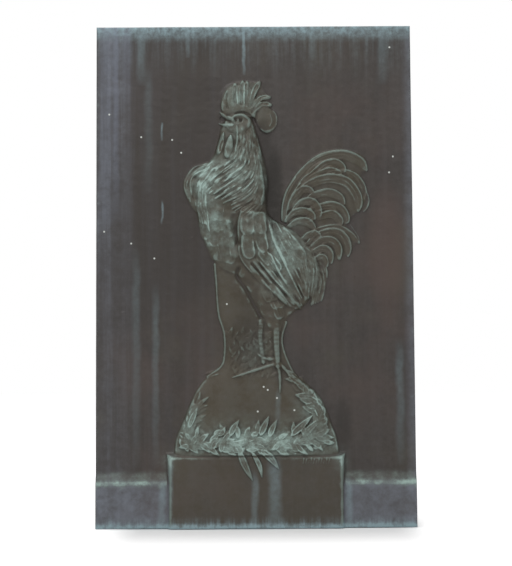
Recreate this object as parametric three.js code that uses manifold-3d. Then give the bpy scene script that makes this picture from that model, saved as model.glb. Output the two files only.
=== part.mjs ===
// A cast bronze wall plaque: a cockerel in relief, standing on a mound ringed with laurel, on a block plinth.
// Plate and figure are one casting, so the model is one solid.
// Millimetres, +Z up. The origin is the centre of the flat back, and the front looks along -Y.
import * as THREE from "three";
import { mergeVertices } from "three/addons/utils/BufferGeometryUtils.js";
import Module from "manifold-3d";

// Driving dimensions. A place on the face is [x, z]: x from the centre line, z up from the bottom edge.
// A depth or lift is how far a form stands out in front of the plate's face or of the form below it.
const PLATE = { width: 316, height: 500, thickness: 12 };
const ROOT_DEPTH = 6; // how far each form is sunk into the plate
const JOIN_TOLERANCE = 0.02; // edges shorter than this are closed where two forms meet
const LEDGE = { edge: 44, slopeTop: 53, depth: 3.5 };
const PLINTH = { halfWidth: 89, top: 73, depth: 7.5, draft: 4.5 };

const MOUND = {
  left: [[70, -81], [87, -79], [105, -71.5], [122, -65], [136, -58], [147, -49], [157, -35], [165, -31],
    [190, -30.5], [210, -36], [245, -38.5], [262, -40]],
  right: [[70, 83], [88, 80], [100, 75.5], [115, 70], [130, 62], [141, 50], [148, 40], [165, 31],
    [180, 26.5], [190, 27], [203, 31], [262, 36]],
  depth: [[70, 8.5], [100, 8], [125, 6.5], [145, 4.2], [160, 2.4], [262, 2]],
  edge: 1.4,
  steps: 12,
  ribs: 6,
};
const RIM = { halfWidth: 1.1, lift: 1, bottom: 148, leftTop: 260, rightTop: 202, steps: 8 };

const BODY = {
  left: [[190, 14], [205, 5.5], [220, -1], [235, -10.5], [247, -19], [254, -34], [262, -41], [280, -50],
    [292, -55], [318, -59], [340, -60], [350, -56], [366, -43], [382, -37], [400, -33], [408, -28], [413, -20]],
  right: [[190, 27], [203, 31], [212, 41], [220, 55], [235, 64], [250, 66], [265, 61], [280, 52], [292, 40],
    [301, 25], [305, 19], [312, 14.5], [325, 13.5], [338, 15], [350, 14], [365, 11], [390, 4], [405, -1], [413, -8]],
  depth: [[190, 3.2], [215, 5.2], [250, 7.4], [280, 8.6], [310, 9.6], [340, 10], [365, 8.6], [390, 7], [413, 4.5]],
  edge: 1.6,
  steps: 17,
  ribs: 6,
};
const FAR_SHOULDER = {
  left: [[311, -58], [322, -66], [338, -70.5], [350, -64], [362, -47]],
  right: [[311, -50], [338, -52], [362, -42]],
  depth: 2.2,
  edge: 1,
  steps: 5,
  ribs: 2,
};
const WING = {
  front: [[-13, 312], [-16, 292], [-14, 268], [-2, 248], [32, 217]],
  back: [[12, 312], [20, 288], [33, 258], [42, 238], [48, 215]],
  lift: 3,
  steps: 8,
  ribs: 3,
};

// Feather groups. Guides run from root to tip, and feathers are set out in rows along them and columns across.
const FEATHERS = [
  { // front of the chest
    guides: [[[-42, 362], [-54, 346], [-57, 326], [-53, 306]], [[-40, 352], [-48, 336], [-49, 318], [-46, 302]]],
    rows: 3, columns: 2, overlap: 1.7, fill: 1.2, lift: 1.6, point: 1.5,
  },
  { // breast
    guides: [[[-52, 316], [-50, 294], [-40, 268]], [[-19, 316], [-23, 294], [-19, 264]]],
    rows: 4, columns: 3, overlap: 1.45, fill: 1.15, lift: 1.6, point: 2.6,
  },
  { // neck hackle, a cape that sweeps round to the chest
    guides: [[[-9, 388], [-24, 368], [-42, 354], [-55, 337]], [[2, 380], [-6, 354], [-24, 339], [-43, 327]],
      [[5, 364], [4, 340], [-5, 325], [-24, 317]], [[7, 352], [9, 332], [7, 318], [-1, 305]]],
    rows: 3, columns: 6, overlap: 1.7, fill: 1.25, lift: 2.2, point: 1.5,
  },
  { // wing coverts
    guides: [[[-13, 312], [-14, 290], [-10, 264]], [[11, 312], [14, 290], [20, 268]]],
    rows: 3, columns: 2, overlap: 1.45, fill: 1.15, lift: 1.6, point: 2.8, onWing: true,
  },
  { // flight feathers
    guides: [[[-9, 262], [9, 243], [31, 218]], [[14, 268], [31, 243], [48, 216]]],
    rows: 1, columns: 5, overlap: 1, fill: 1.3, lift: 1.8, point: 1.8, onWing: true,
  },
  { // saddle hackle
    guides: [[[14, 304], [19, 282], [33, 252], [46, 226]], [[27, 299], [42, 282], [55, 262], [63, 238]]],
    rows: 2, columns: 5, overlap: 1.4, fill: 1.2, lift: 2, point: 1.5, onWing: true,
  },
  { // thigh
    guides: [[[-17, 252], [-5, 230], [11, 199]], [[2, 246], [20, 224], [27, 203]]],
    rows: 3, columns: 2, overlap: 1.45, fill: 1.2, lift: 1.6, point: 2.8,
  },
  { // fluff below the tail
    guides: [[[46, 270], [49, 248], [50, 222]], [[56, 270], [62, 252], [58, 230]]],
    rows: 2, columns: 2, overlap: 1.5, fill: 1.2, lift: 2.4, point: 1.6,
  },
];
const FEATHER_STEPS = 3;

// Tail sickles, outermost first: each rises from the tail's root in a quarter ellipse and falls in another.
const TAIL = {
  rootTop: [27, 303],
  rootBottom: [50, 277],
  halfWidth: 5.6,
  depth: 2.2,
  depthStep: 0.25,
  steps: 8,
  sickles: [
    { root: 0, apex: [88, 373], tip: [115, 348] },
    { root: 0.08, apex: [81, 365], tip: [104, 346] },
    { root: 0.16, apex: [80, 352], tip: [112, 318] },
    { root: 0.22, apex: [75, 342], tip: [104, 311] },
    { root: 0.3, apex: [73, 332], tip: [96, 305] },
    { root: 0.36, apex: [64, 324], tip: [84, 306] },
    { root: 0.42, apex: [52, 317], tip: [65, 303] },
    { root: 0.7, apex: [76, 299], tip: [103, 281] },
    { root: 0.85, apex: [74, 291], tip: [94, 264] },
    { root: 1, apex: [68, 281], tip: [83, 260] },
  ],
};

const COMB = {
  centre: [-9, 408],
  points: 9,
  firstAngle: 142,
  lastAngle: 12,
  innerRadius: 10,
  reach: [[0, 29], [0.35, 37], [0.6, 37], [1, 28]],
  halfWidth: 3.2,
  depth: 4.4,
  blade: {
    left: [[404, -26], [412, -33], [422, -34], [430, -29], [436, -20]],
    right: [[404, -1], [412, 4], [422, 2], [430, -5], [436, -13]],
    depth: 4.4,
    edge: 2.4,
    steps: 5,
    ribs: 4,
  },
  lobe: { from: [8, 419], to: [15, 391], halfWidth: 9 },
};
const HEAD = {
  drops: [
    { from: [-29, 401], to: [-3, 403], halfWidth: 11, lift: 1.6 }, // cheek
    { from: [-20.5, 403], to: [-13.5, 403.5], halfWidth: 2.8, lift: 3.2 }, // eye
    { from: [-12, 399], to: [-11, 388], halfWidth: 3.8, lift: 3 }, // ear lobe
    { from: [-32, 394], to: [-37, 370], halfWidth: 4, lift: 2.2 }, // far wattle
    { from: [-24, 394], to: [-28, 366], halfWidth: 4.8, lift: 3.2 }, // near wattle
  ],
  mandibles: [
    { from: [-21, 404], to: [-35, 413], halfWidth: 3, lift: 3.4 },
    { from: [-21, 399], to: [-37, 402], halfWidth: 2.6, lift: 2.8 },
  ],
};
const LEG = {
  shanks: [
    { spine: [[21, 203], [21, 180], [22, 158]], halfWidth: 4.2, lift: 2.6 },
    { spine: [[6, 203], [5, 186], [8, 162]], halfWidth: 3.2, lift: 1.4 },
  ],
  toes: [
    [[22, 161], [8, 157], [-8, 152], [-24, 147]],
    [[22, 162], [24, 148], [24, 131]],
    [[23, 162], [32, 152], [40, 141]],
  ],
  toeHalfWidth: 2.6,
  toeLift: 1.8,
  steps: 4,
};

const LAUREL = {
  bed: { bottom: [[-80, 76], [0, 73], [82, 76]], top: [[-76, 96], [0, 94], [78, 97]], lift: 0.8, steps: 5, ribs: 2 },
  garland: [[-72, 84], [-40, 84], [0, 82], [36, 84], [58, 90], [65, 106], [59, 123], [45, 136]],
  sideSprig: [[-68, 84], [-67, 94], [-61, 108]],
  garlandNodes: 12,
  sprigNodes: 2,
  spreads: [-40, 4, 44],
  leaf: { length: 21, halfWidth: 3.8, lift: 2, liftStep: 0.3 },
  hanging: [
    { from: [-17, 76], to: [-3, 47] },
    { from: [-3, 74], to: [6, 50] },
    { from: [5, 76], to: [22, 58] },
  ],
  steps: 3,
};

const wasm = await Module();
wasm.setup();

// Smooth curve of one variable through [at, value] knots, level with its end knots outside them.
function through(knots) {
  const slope = (i) => {
    const a = knots[Math.max(i - 1, 0)];
    const b = knots[Math.min(i + 1, knots.length - 1)];
    return (b[1] - a[1]) / (b[0] - a[0]);
  };
  return (at) => {
    const t = Math.min(Math.max(at, knots[0][0]), knots[knots.length - 1][0]);
    const i = Math.min(knots.findIndex((k, n) => n > 0 && t <= k[0]) - 1, knots.length - 2);
    const [[x0, y0], [x1, y1]] = [knots[i], knots[i + 1]];
    const h = x1 - x0;
    const s = (t - x0) / h;
    const rise = s * s * (3 - 2 * s);
    return y0 + (y1 - y0) * rise + h * s * (1 - s) * ((1 - s) * slope(i) - s * slope(i + 1));
  };
}

// Smooth curve on the face through places [x, z], as a function of 0 to 1.
function pathThrough(places) {
  const curve = new THREE.SplineCurve(places.map(([x, z]) => new THREE.Vector2(x, z)));
  return (s) => curve.getPoint(Math.min(Math.max(s, 0), 1));
}

// How full a rounded form is across its width: 0 at both edges (u is 0 or 1) and 1 in the middle.
function roundness(u) {
  return Math.sqrt(Math.max(0, 1 - Math.abs(2 * u - 1) ** 2.2));
}

// Closed solid between two edges on the face: a grid of steps along the edges and ribs across them,
// with its front at top(place, s, u) before the plate's face and its back sunk into the plate.
function form({ left, right, top, steps, ribs }) {
  const positions = [];
  for (const front of [true, false])
    for (let i = 0; i <= steps; i++)
      for (let j = 0; j <= ribs; j++) {
        const [s, u] = [i / steps, j / ribs];
        const place = left(s).clone().lerp(right(s), u);
        const y = front ? -PLATE.thickness - top(place, s, u) : ROOT_DEPTH - PLATE.thickness;
        positions.push(place.x, y, place.y);
      }
  const back = (steps + 1) * (ribs + 1);
  const at = (i, j) => i * (ribs + 1) + j;
  const faces = [];
  const quad = (a, b, c, d) => faces.push(a, b, c, a, c, d);
  for (let i = 0; i < steps; i++)
    for (let j = 0; j < ribs; j++) {
      quad(at(i, j), at(i, j + 1), at(i + 1, j + 1), at(i + 1, j));
      quad(back + at(i, j), back + at(i + 1, j), back + at(i + 1, j + 1), back + at(i, j + 1));
    }
  for (let i = 0; i < steps; i++) {
    quad(at(i, 0), at(i + 1, 0), back + at(i + 1, 0), back + at(i, 0));
    quad(at(i + 1, ribs), at(i, ribs), back + at(i, ribs), back + at(i + 1, ribs));
  }
  for (let j = 0; j < ribs; j++) {
    quad(at(0, j + 1), at(0, j), back + at(0, j), back + at(0, j + 1));
    quad(at(steps, j), at(steps, j + 1), back + at(steps, j + 1), back + at(steps, j));
  }
  const geometry = new THREE.BufferGeometry();
  geometry.setAttribute("position", new THREE.Float32BufferAttribute(positions, 3));
  geometry.setIndex(faces);
  return solid(geometry);
}

// A geometry as a manifold-3d solid facing outwards. Faces that close to nothing at a pointed tip are dropped.
function solid(geometry) {
  geometry.deleteAttribute("normal");
  geometry.deleteAttribute("uv");
  const merged = mergeVertices(geometry, 1e-3);
  const index = merged.index.array;
  const faces = [];
  for (let i = 0; i < index.length; i += 3) {
    const [a, b, c] = index.slice(i, i + 3);
    if (a !== b && b !== c && c !== a) faces.push(a, b, c);
  }
  const build = (triVerts) =>
    new wasm.Manifold(
      new wasm.Mesh({ numProp: 3, vertProperties: merged.attributes.position.array, triVerts }),
    );
  const made = build(new Uint32Array(faces));
  if (made.volume() > 0) return made;
  return build(new Uint32Array(faces.reverse()));
}

// Mass whose two edges are curves of height: an edge step at its rim and rounded across to its depth.
function mass({ left, right, depth, edge, steps, ribs }) {
  const [leftAt, rightAt] = [through(left), through(right)];
  const depthAt = Array.isArray(depth) ? through(depth) : () => depth;
  const [bottom, topEnd] = [left[0][0], left[left.length - 1][0]];
  const height = (x, z) => {
    const u = (x - leftAt(z)) / (rightAt(z) - leftAt(z));
    if (z < bottom || z > topEnd || u < 0 || u > 1) return 0;
    return edge + (depthAt(z) - edge) * roundness(u);
  };
  const levelAt = (s) => bottom + (topEnd - bottom) * s;
  const made = form({
    left: (s) => new THREE.Vector2(leftAt(levelAt(s)), levelAt(s)),
    right: (s) => new THREE.Vector2(rightAt(levelAt(s)), levelAt(s)),
    top: (place, s, u) => edge + (depthAt(place.y) - edge) * roundness(u),
    steps,
    ribs,
  });
  return { made, height };
}

// Strip along a path: half as wide on each side as width(s), crowned, its lift added to the ground below it.
function strip({ path, width, lift, ground, steps, ribs = 2, crown = 0.5 }) {
  const step = 1e-3;
  const side = (s, way) => {
    const along = path(s + step).clone().sub(path(s - step)).normalize();
    return path(s).clone().add(new THREE.Vector2(along.y, -along.x).multiplyScalar(way * width(s)));
  };
  return form({
    left: (s) => side(s, -1),
    right: (s) => side(s, 1),
    top: (place, s, u) => ground(place.x, place.y) + lift(s) * (1 - crown * (2 * u - 1) ** 2),
    steps,
    ribs,
  });
}

// Width of a drop, leaf or scale along its length: round-shouldered at the root and closing to a point.
const leafWidth = (halfWidth) => (s) => halfWidth * Math.sin(Math.PI * Math.min(s, 1) ** 0.8) ** 0.8;
const dropWidth = (halfWidth) => (s) => halfWidth * Math.sqrt(Math.max(0, 4 * s * (1 - s)));

function straight(from, to) {
  return pathThrough([from, to]);
}

function plate() {
  const box = new THREE.BoxGeometry(PLATE.width, PLATE.thickness, PLATE.height);
  return solid(box.translate(0, -PLATE.thickness / 2, PLATE.height / 2));
}

// Ledge across the foot of the plate, with a sloping top that sheds water.
function ledge() {
  const half = PLATE.width / 2;
  const profile = [[0, LEDGE.depth], [LEDGE.edge, LEDGE.depth], [LEDGE.slopeTop, 0]];
  const last = profile.length - 1;
  const corner = (s) => profile[Math.round(s * last)];
  return form({
    left: (s) => new THREE.Vector2(-half, corner(s)[0]),
    right: (s) => new THREE.Vector2(half, corner(s)[0]),
    top: (place, s) => corner(s)[1],
    steps: last,
    ribs: 1,
  });
}

// Plinth block: a flat front with drafted sides and a drafted top edge.
function plinth() {
  const { halfWidth, top, depth, draft } = PLINTH;
  const levels = [0, top - draft, top];
  const sides = [-halfWidth, -halfWidth + draft, halfWidth - draft, halfWidth];
  const at = (s) => levels[Math.round(s * (levels.length - 1))];
  const isFront = (s, u) => at(s) < top && u > 0.01 && u < 0.99;
  const ribs = sides.length - 1;
  return form({
    left: (s) => new THREE.Vector2(-halfWidth, at(s)),
    right: (s) => new THREE.Vector2(halfWidth, at(s)),
    top: (place, s, u) => {
      place.x = sides[Math.round(u * ribs)];
      return isFront(s, u) ? depth : 0;
    },
    steps: levels.length - 1,
    ribs,
  });
}

// Raised line along both edges of the mound where it narrows up behind the legs.
function rims(ground) {
  const edges = [[MOUND.left, RIM.leftTop], [MOUND.right, RIM.rightTop]];
  return edges.map(([knots, top]) => {
    const x = through(knots);
    const levelAt = (s) => RIM.bottom + (top - RIM.bottom) * s;
    return strip({
      path: (s) => new THREE.Vector2(x(levelAt(s)), levelAt(s)),
      width: () => RIM.halfWidth,
      lift: () => RIM.lift,
      ground: (px, pz) => Math.max(ground(px, pz), MOUND.edge),
      steps: RIM.steps,
    });
  });
}

// One group of feathers: rows and columns between its guides, tips lifted over the roots of the next row.
function featherGroup({ guides, rows, columns, overlap, fill, lift, point }, ground) {
  const paths = guides.map(pathThrough);
  const at = (u, s) => {
    const across = u * (paths.length - 1);
    const i = Math.min(Math.floor(across), paths.length - 2);
    return paths[i](s).lerp(paths[i + 1](s), across - i);
  };
  const feathers = [];
  for (let row = 0; row < rows; row++)
    for (let column = 0; column < columns; column++) {
      const stagger = rows > 1 ? (row % 2) * 0.5 - 0.25 : 0;
      const u = Math.min(Math.max((column + 0.5 + stagger) / columns, 0), 1);
      const start = (row / rows) * (1 - (overlap - 1) / rows);
      const path = (s) => at(u, start + (s * overlap) / rows);
      const middle = start + overlap / rows / 2;
      const spacing = at(0, middle).distanceTo(at(1, middle)) / columns;
      feathers.push(
        strip({
          path,
          width: (s) => ((spacing * fill) / 2) * Math.sqrt(Math.max(0, 1 - s ** point)) * (0.7 + 0.3 * s),
          lift: (s) => lift * (0.1 + 0.9 * s),
          ground,
          steps: FEATHER_STEPS,
        }),
      );
    }
  return feathers;
}

function tail() {
  const root = (share) =>
    new THREE.Vector2(...TAIL.rootTop).lerp(new THREE.Vector2(...TAIL.rootBottom), share);
  return TAIL.sickles.map(({ root: share, apex, tip }, k) => {
    const foot = root(share);
    const rise = Math.hypot(apex[0] - foot.x, apex[1] - foot.y);
    const fall = Math.hypot(apex[0] - tip[0], apex[1] - tip[1]);
    const turn = rise / (rise + fall);
    const path = (s) => {
      if (s < turn) {
        const a = ((s / turn) * Math.PI) / 2;
        return new THREE.Vector2(
          foot.x + (apex[0] - foot.x) * (1 - Math.cos(a)),
          foot.y + (apex[1] - foot.y) * Math.sin(a),
        );
      }
      const a = (((s - turn) / (1 - turn)) * Math.PI) / 2;
      return new THREE.Vector2(
        apex[0] + (tip[0] - apex[0]) * Math.sin(a),
        tip[1] + (apex[1] - tip[1]) * Math.cos(a),
      );
    };
    return strip({
      path,
      width: (s) => TAIL.halfWidth * Math.sqrt(Math.max(0, 1 - s ** 3)) * (0.45 + 0.55 * Math.sin(s * Math.PI * 0.7)),
      lift: () => TAIL.depth + TAIL.depthStep * k,
      ground: () => 0,
      steps: TAIL.steps,
    });
  });
}

function comb() {
  const { centre, points, firstAngle, lastAngle, innerRadius, halfWidth, depth, lobe } = COMB;
  const reach = through(COMB.reach);
  const blade = mass(COMB.blade);
  const tines = Array.from({ length: points }, (_, k) => {
    const share = k / (points - 1);
    const angle = THREE.MathUtils.degToRad(firstAngle + (lastAngle - firstAngle) * share);
    const place = (radius) => [centre[0] + radius * Math.cos(angle), centre[1] + radius * Math.sin(angle)];
    return strip({
      path: straight(place(innerRadius), place(reach(share))),
      width: (s) => halfWidth * Math.sqrt(Math.max(0, 1 - s ** 4)),
      lift: (s) => depth + 0.6 - 2 * s,
      ground: () => 0,
      steps: FEATHER_STEPS,
    });
  });
  const backLobe = strip({
    path: straight(lobe.from, lobe.to),
    width: dropWidth(lobe.halfWidth),
    lift: () => depth,
    ground: () => 0,
    steps: 8,
  });
  return [blade.made, ...tines, backLobe];
}

function head(ground) {
  const drops = HEAD.drops.map(({ from, to, halfWidth, lift }) =>
    strip({
      path: straight(from, to),
      width: dropWidth(halfWidth),
      lift: () => lift,
      ground,
      steps: 6,
      crown: 0.8,
    }),
  );
  const mandibles = HEAD.mandibles.map(({ from, to, halfWidth, lift }) =>
    strip({
      path: straight(from, to),
      width: (s) => halfWidth * (1 - s ** 1.5),
      lift: () => lift,
      ground,
      steps: FEATHER_STEPS,
    }),
  );
  return [...drops, ...mandibles];
}

function legs(ground) {
  const shanks = LEG.shanks.map(({ spine, halfWidth, lift }) =>
    strip({
      path: pathThrough(spine),
      width: (s) => halfWidth * (1 - 0.3 * s),
      lift: () => lift,
      ground,
      steps: LEG.steps,
    }),
  );
  const toes = LEG.toes.map((spine) =>
    strip({
      path: pathThrough(spine),
      width: (s) => LEG.toeHalfWidth * Math.sqrt(1 - s ** 2),
      lift: () => LEG.toeLift,
      ground,
      steps: LEG.steps,
    }),
  );
  return [...shanks, ...toes];
}

// Leaves in threes that leave a stem to both sides and along it, each three lying over the one before.
function sprig(places, nodes, ground) {
  const stem = pathThrough(places);
  const { length, halfWidth, lift, liftStep } = LAUREL.leaf;
  const leaves = [];
  for (let k = 0; k < nodes; k++)
    LAUREL.spreads.forEach((spread, n) => {
      const s = (k + 0.3 * n) / nodes;
      const from = stem(s);
      const along = stem(s + 0.02).clone().sub(stem(s - 0.02)).normalize();
      along.rotateAround(new THREE.Vector2(), THREE.MathUtils.degToRad(spread));
      const to = from.clone().addScaledVector(along, length);
      leaves.push(leaf([from.x, from.y], [to.x, to.y], halfWidth, lift + liftStep * (k % 3), ground));
    });
  return leaves;
}

function leaf(from, to, halfWidth, lift, ground) {
  return strip({
    path: straight(from, to),
    width: leafWidth(halfWidth),
    lift: () => lift,
    ground,
    steps: LAUREL.steps,
    crown: 0.7,
  });
}

function casting() {
  const mound = mass(MOUND);
  const body = mass(BODY);
  const shoulder = mass(FAR_SHOULDER);
  const ground = (x, z) => Math.max(mound.height(x, z), body.height(x, z), shoulder.height(x, z));
  const inPlinth = (x, z) => z < PLINTH.top && Math.abs(x) < PLINTH.halfWidth;
  const footing = (x, z) => Math.max(mound.height(x, z), inPlinth(x, z) ? PLINTH.depth : 0);
  const wing = form({
    left: pathThrough(WING.front),
    right: pathThrough(WING.back),
    top: (place) => ground(place.x, place.y) + WING.lift,
    steps: WING.steps,
    ribs: WING.ribs,
  });
  const bed = form({
    left: pathThrough(LAUREL.bed.bottom),
    right: pathThrough(LAUREL.bed.top),
    top: (place) => footing(place.x, place.y) + LAUREL.bed.lift,
    steps: LAUREL.bed.steps,
    ribs: LAUREL.bed.ribs,
  });
  const wingTop = (x, z) => ground(x, z) + WING.lift;
  const { halfWidth, lift } = LAUREL.leaf;
  const forms = [
    ledge(),
    plinth(),
    mound.made,
    ...rims(mound.height),
    bed,
    ...sprig(LAUREL.garland, LAUREL.garlandNodes, footing),
    ...sprig(LAUREL.sideSprig, LAUREL.sprigNodes, footing),
    ...LAUREL.hanging.map(({ from, to }) => leaf(from, to, halfWidth, lift, footing)),
    ...legs(ground),
    shoulder.made,
    ...tail(),
    ...comb(),
    body.made,
    wing,
    ...FEATHERS.flatMap((group) => featherGroup(group, group.onWing ? wingTop : ground)),
    ...head(ground),
  ];
  return forms.reduce((whole, one) => whole.add(one), plate().setTolerance(JOIN_TOLERANCE));
}

function meshOf(made) {
  const { vertProperties, triVerts } = made.getMesh();
  const geometry = new THREE.BufferGeometry();
  geometry.setAttribute("position", new THREE.BufferAttribute(vertProperties, 3));
  geometry.setIndex(new THREE.BufferAttribute(triVerts, 1));
  geometry.computeVertexNormals();
  const bronze = new THREE.MeshStandardMaterial({ color: 0x4b443d, roughness: 0.55, metalness: 0.6 });
  const mesh = new THREE.Mesh(geometry, bronze);
  mesh.name = "relief_plaque";
  mesh.position.z = -PLATE.height / 2;
  return mesh;
}

const plaque = new THREE.Group();
plaque.add(meshOf(casting()));

export default plaque;
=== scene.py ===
"""Cast bronze wall plaque with a cockerel in relief, dressed for a studio photograph.

The casting is one piece. Its front is a height in millimetres over a grid of places, built up the way
a modeller works in clay: large masses first, then strips (feathers, leaves, lines) laid over them.
A place on the front is x from the centre line and z up from the bottom edge.
"""
import math

import bpy
import numpy as np
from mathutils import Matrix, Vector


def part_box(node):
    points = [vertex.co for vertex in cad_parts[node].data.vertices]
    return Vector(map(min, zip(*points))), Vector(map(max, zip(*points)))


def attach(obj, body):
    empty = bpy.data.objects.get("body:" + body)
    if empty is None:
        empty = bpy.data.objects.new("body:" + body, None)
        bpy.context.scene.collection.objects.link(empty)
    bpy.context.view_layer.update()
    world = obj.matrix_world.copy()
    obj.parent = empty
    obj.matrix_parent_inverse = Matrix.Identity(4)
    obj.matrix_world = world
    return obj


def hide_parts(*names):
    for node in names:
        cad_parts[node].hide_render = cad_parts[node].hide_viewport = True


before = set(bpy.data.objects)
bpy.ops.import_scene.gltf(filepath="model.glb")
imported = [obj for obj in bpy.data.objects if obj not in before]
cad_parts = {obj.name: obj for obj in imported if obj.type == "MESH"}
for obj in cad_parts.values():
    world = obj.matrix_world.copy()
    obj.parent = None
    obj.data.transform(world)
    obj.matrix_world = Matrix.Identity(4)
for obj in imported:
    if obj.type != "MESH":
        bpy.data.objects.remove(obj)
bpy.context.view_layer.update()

bl_info = {
    "name": "Relief plaque",
    "version": (1, 0, 0),
    "blender": (4, 5, 0),
    "location": "View3D > Sidebar > Plaque",
    "description": "A cast bronze wall plaque with a cockerel in relief, and a studio stage for it",
    "category": "Add Mesh",
}

NODE = "relief_plaque"
LOW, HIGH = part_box(NODE)
MM = 0.001


def paint(red, green, blue):
    """Scene colour of a paint swatch given as 0 to 255: the usual screen curve taken off each channel."""
    share = np.array([red, green, blue]) / 255
    return tuple(np.where(share <= 0.04045, share / 12.92, ((share + 0.055) / 1.055) ** 2.4))


# Ledge: heights where its front ends, its slope starts and its slope meets the plate, and its rounding.
LEDGE_SLOPE = [42.5, 44.5, 53.5]
LEDGE_ROUND = 0.3
PLINTH_HALF, PLINTH_TOP, PLINTH_DRAFT = 89, 73.5, 4.5
# The grid is kept fine between these places and coarse, by this many cells, outside them.
FINE_X, FINE_Z = (-92, 120), (40, 450)
COARSE = 6

# Masses: edges and depth are knots [z, value], and a depth is how far the mass stands before the plate.
MOUND = {
    "left": [[70, -81], [87, -79], [105, -71.5], [122, -65], [136, -58], [147, -49], [157, -35], [165, -31],
             [190, -30.5], [210, -36], [245, -38.5], [262, -40]],
    "right": [[70, 83], [88, 80], [100, 75.5], [115, 70], [130, 62], [141, 50], [148, 40], [165, 31],
              [180, 26.5], [190, 27], [203, 31], [262, 36]],
    "depth": [[70, 8.5], [100, 8], [125, 6.5], [145, 4.2], [160, 2.4], [262, 2]],
    "edge": 1.4,
}
BODY = {
    "left": [[190, 14], [205, 5.5], [220, -1], [235, -10.5], [247, -19], [254, -34], [262, -41], [280, -50],
             [292, -55], [318, -59], [340, -60], [350, -56], [366, -43], [382, -37], [400, -33], [408, -28],
             [413, -20]],
    "right": [[190, 27], [203, 31], [212, 40], [220, 52], [235, 62], [250, 65], [265, 61], [280, 53],
              [292, 41],
              [301, 25], [305, 19], [312, 14.5], [325, 13.5], [338, 15], [350, 14], [365, 11], [390, 4],
              [405, -1], [413, -8]],
    "depth": [[190, 3.2], [215, 4.6], [250, 6.2], [280, 8], [310, 9.6], [340, 10], [365, 8.6], [390, 7],
              [413, 4.5]],
    "edge": 0.9,
}
FAR_SHOULDER = {
    "left": [[311, -58], [322, -66], [338, -70.5], [350, -64], [362, -47]],
    "right": [[311, -50], [338, -52], [362, -42]],
    "depth": [[311, 2.2], [362, 2.2]],
    "edge": 1,
}
WING = {
    "left": [[214, 40], [218, 31], [230, 17], [248, -2], [258, -9], [268, -14], [292, -16], [312, -13]],
    "right": [[214, 48], [238, 42], [258, 33], [288, 20], [312, 12]],
    "depth": [[214, 1.6], [240, 2.4], [290, 3], [312, 2]],
    "edge": 1.2,
}
COMB_BLADE = {
    "left": [[406, -20], [411, -31], [418, -34], [428, -32], [436, -27], [441, -20]],
    "right": [[406, 2], [412, 4], [420, 4], [430, 2], [437, -2], [441, -7]],
    "depth": [[406, 4.2], [420, 3.6], [441, 1.8]],
    "edge": 0.9,
}
COMB_BACK = {
    "left": [[398, 8], [406, 0], [414, -30], [430, -34], [440, -28], [445, -14]],
    "right": [[398, 12], [406, 12], [414, 15], [424, 17], [433, 14], [440, 9], [445, 2]],
    "depth": [[398, 1.0], [445, 1.0]],
    "edge": 0.5,
}
TAIL_FAN = {
    "left": [[262, 58], [280, 50], [300, 30], [318, 29], [333, 32], [345, 38], [356, 47], [366, 57],
             [372, 70], [375, 84]],
    "right": [[262, 86], [270, 94], [280, 102], [290, 98], [300, 93], [310, 103], [320, 111], [332, 110],
              [345, 107],
              [352, 112], [360, 115], [368, 110], [373, 100], [375, 88]],
    "depth": [[262, 1.0], [320, 1.4], [375, 1.0]],
    "edge": 0.5,
}

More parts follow.
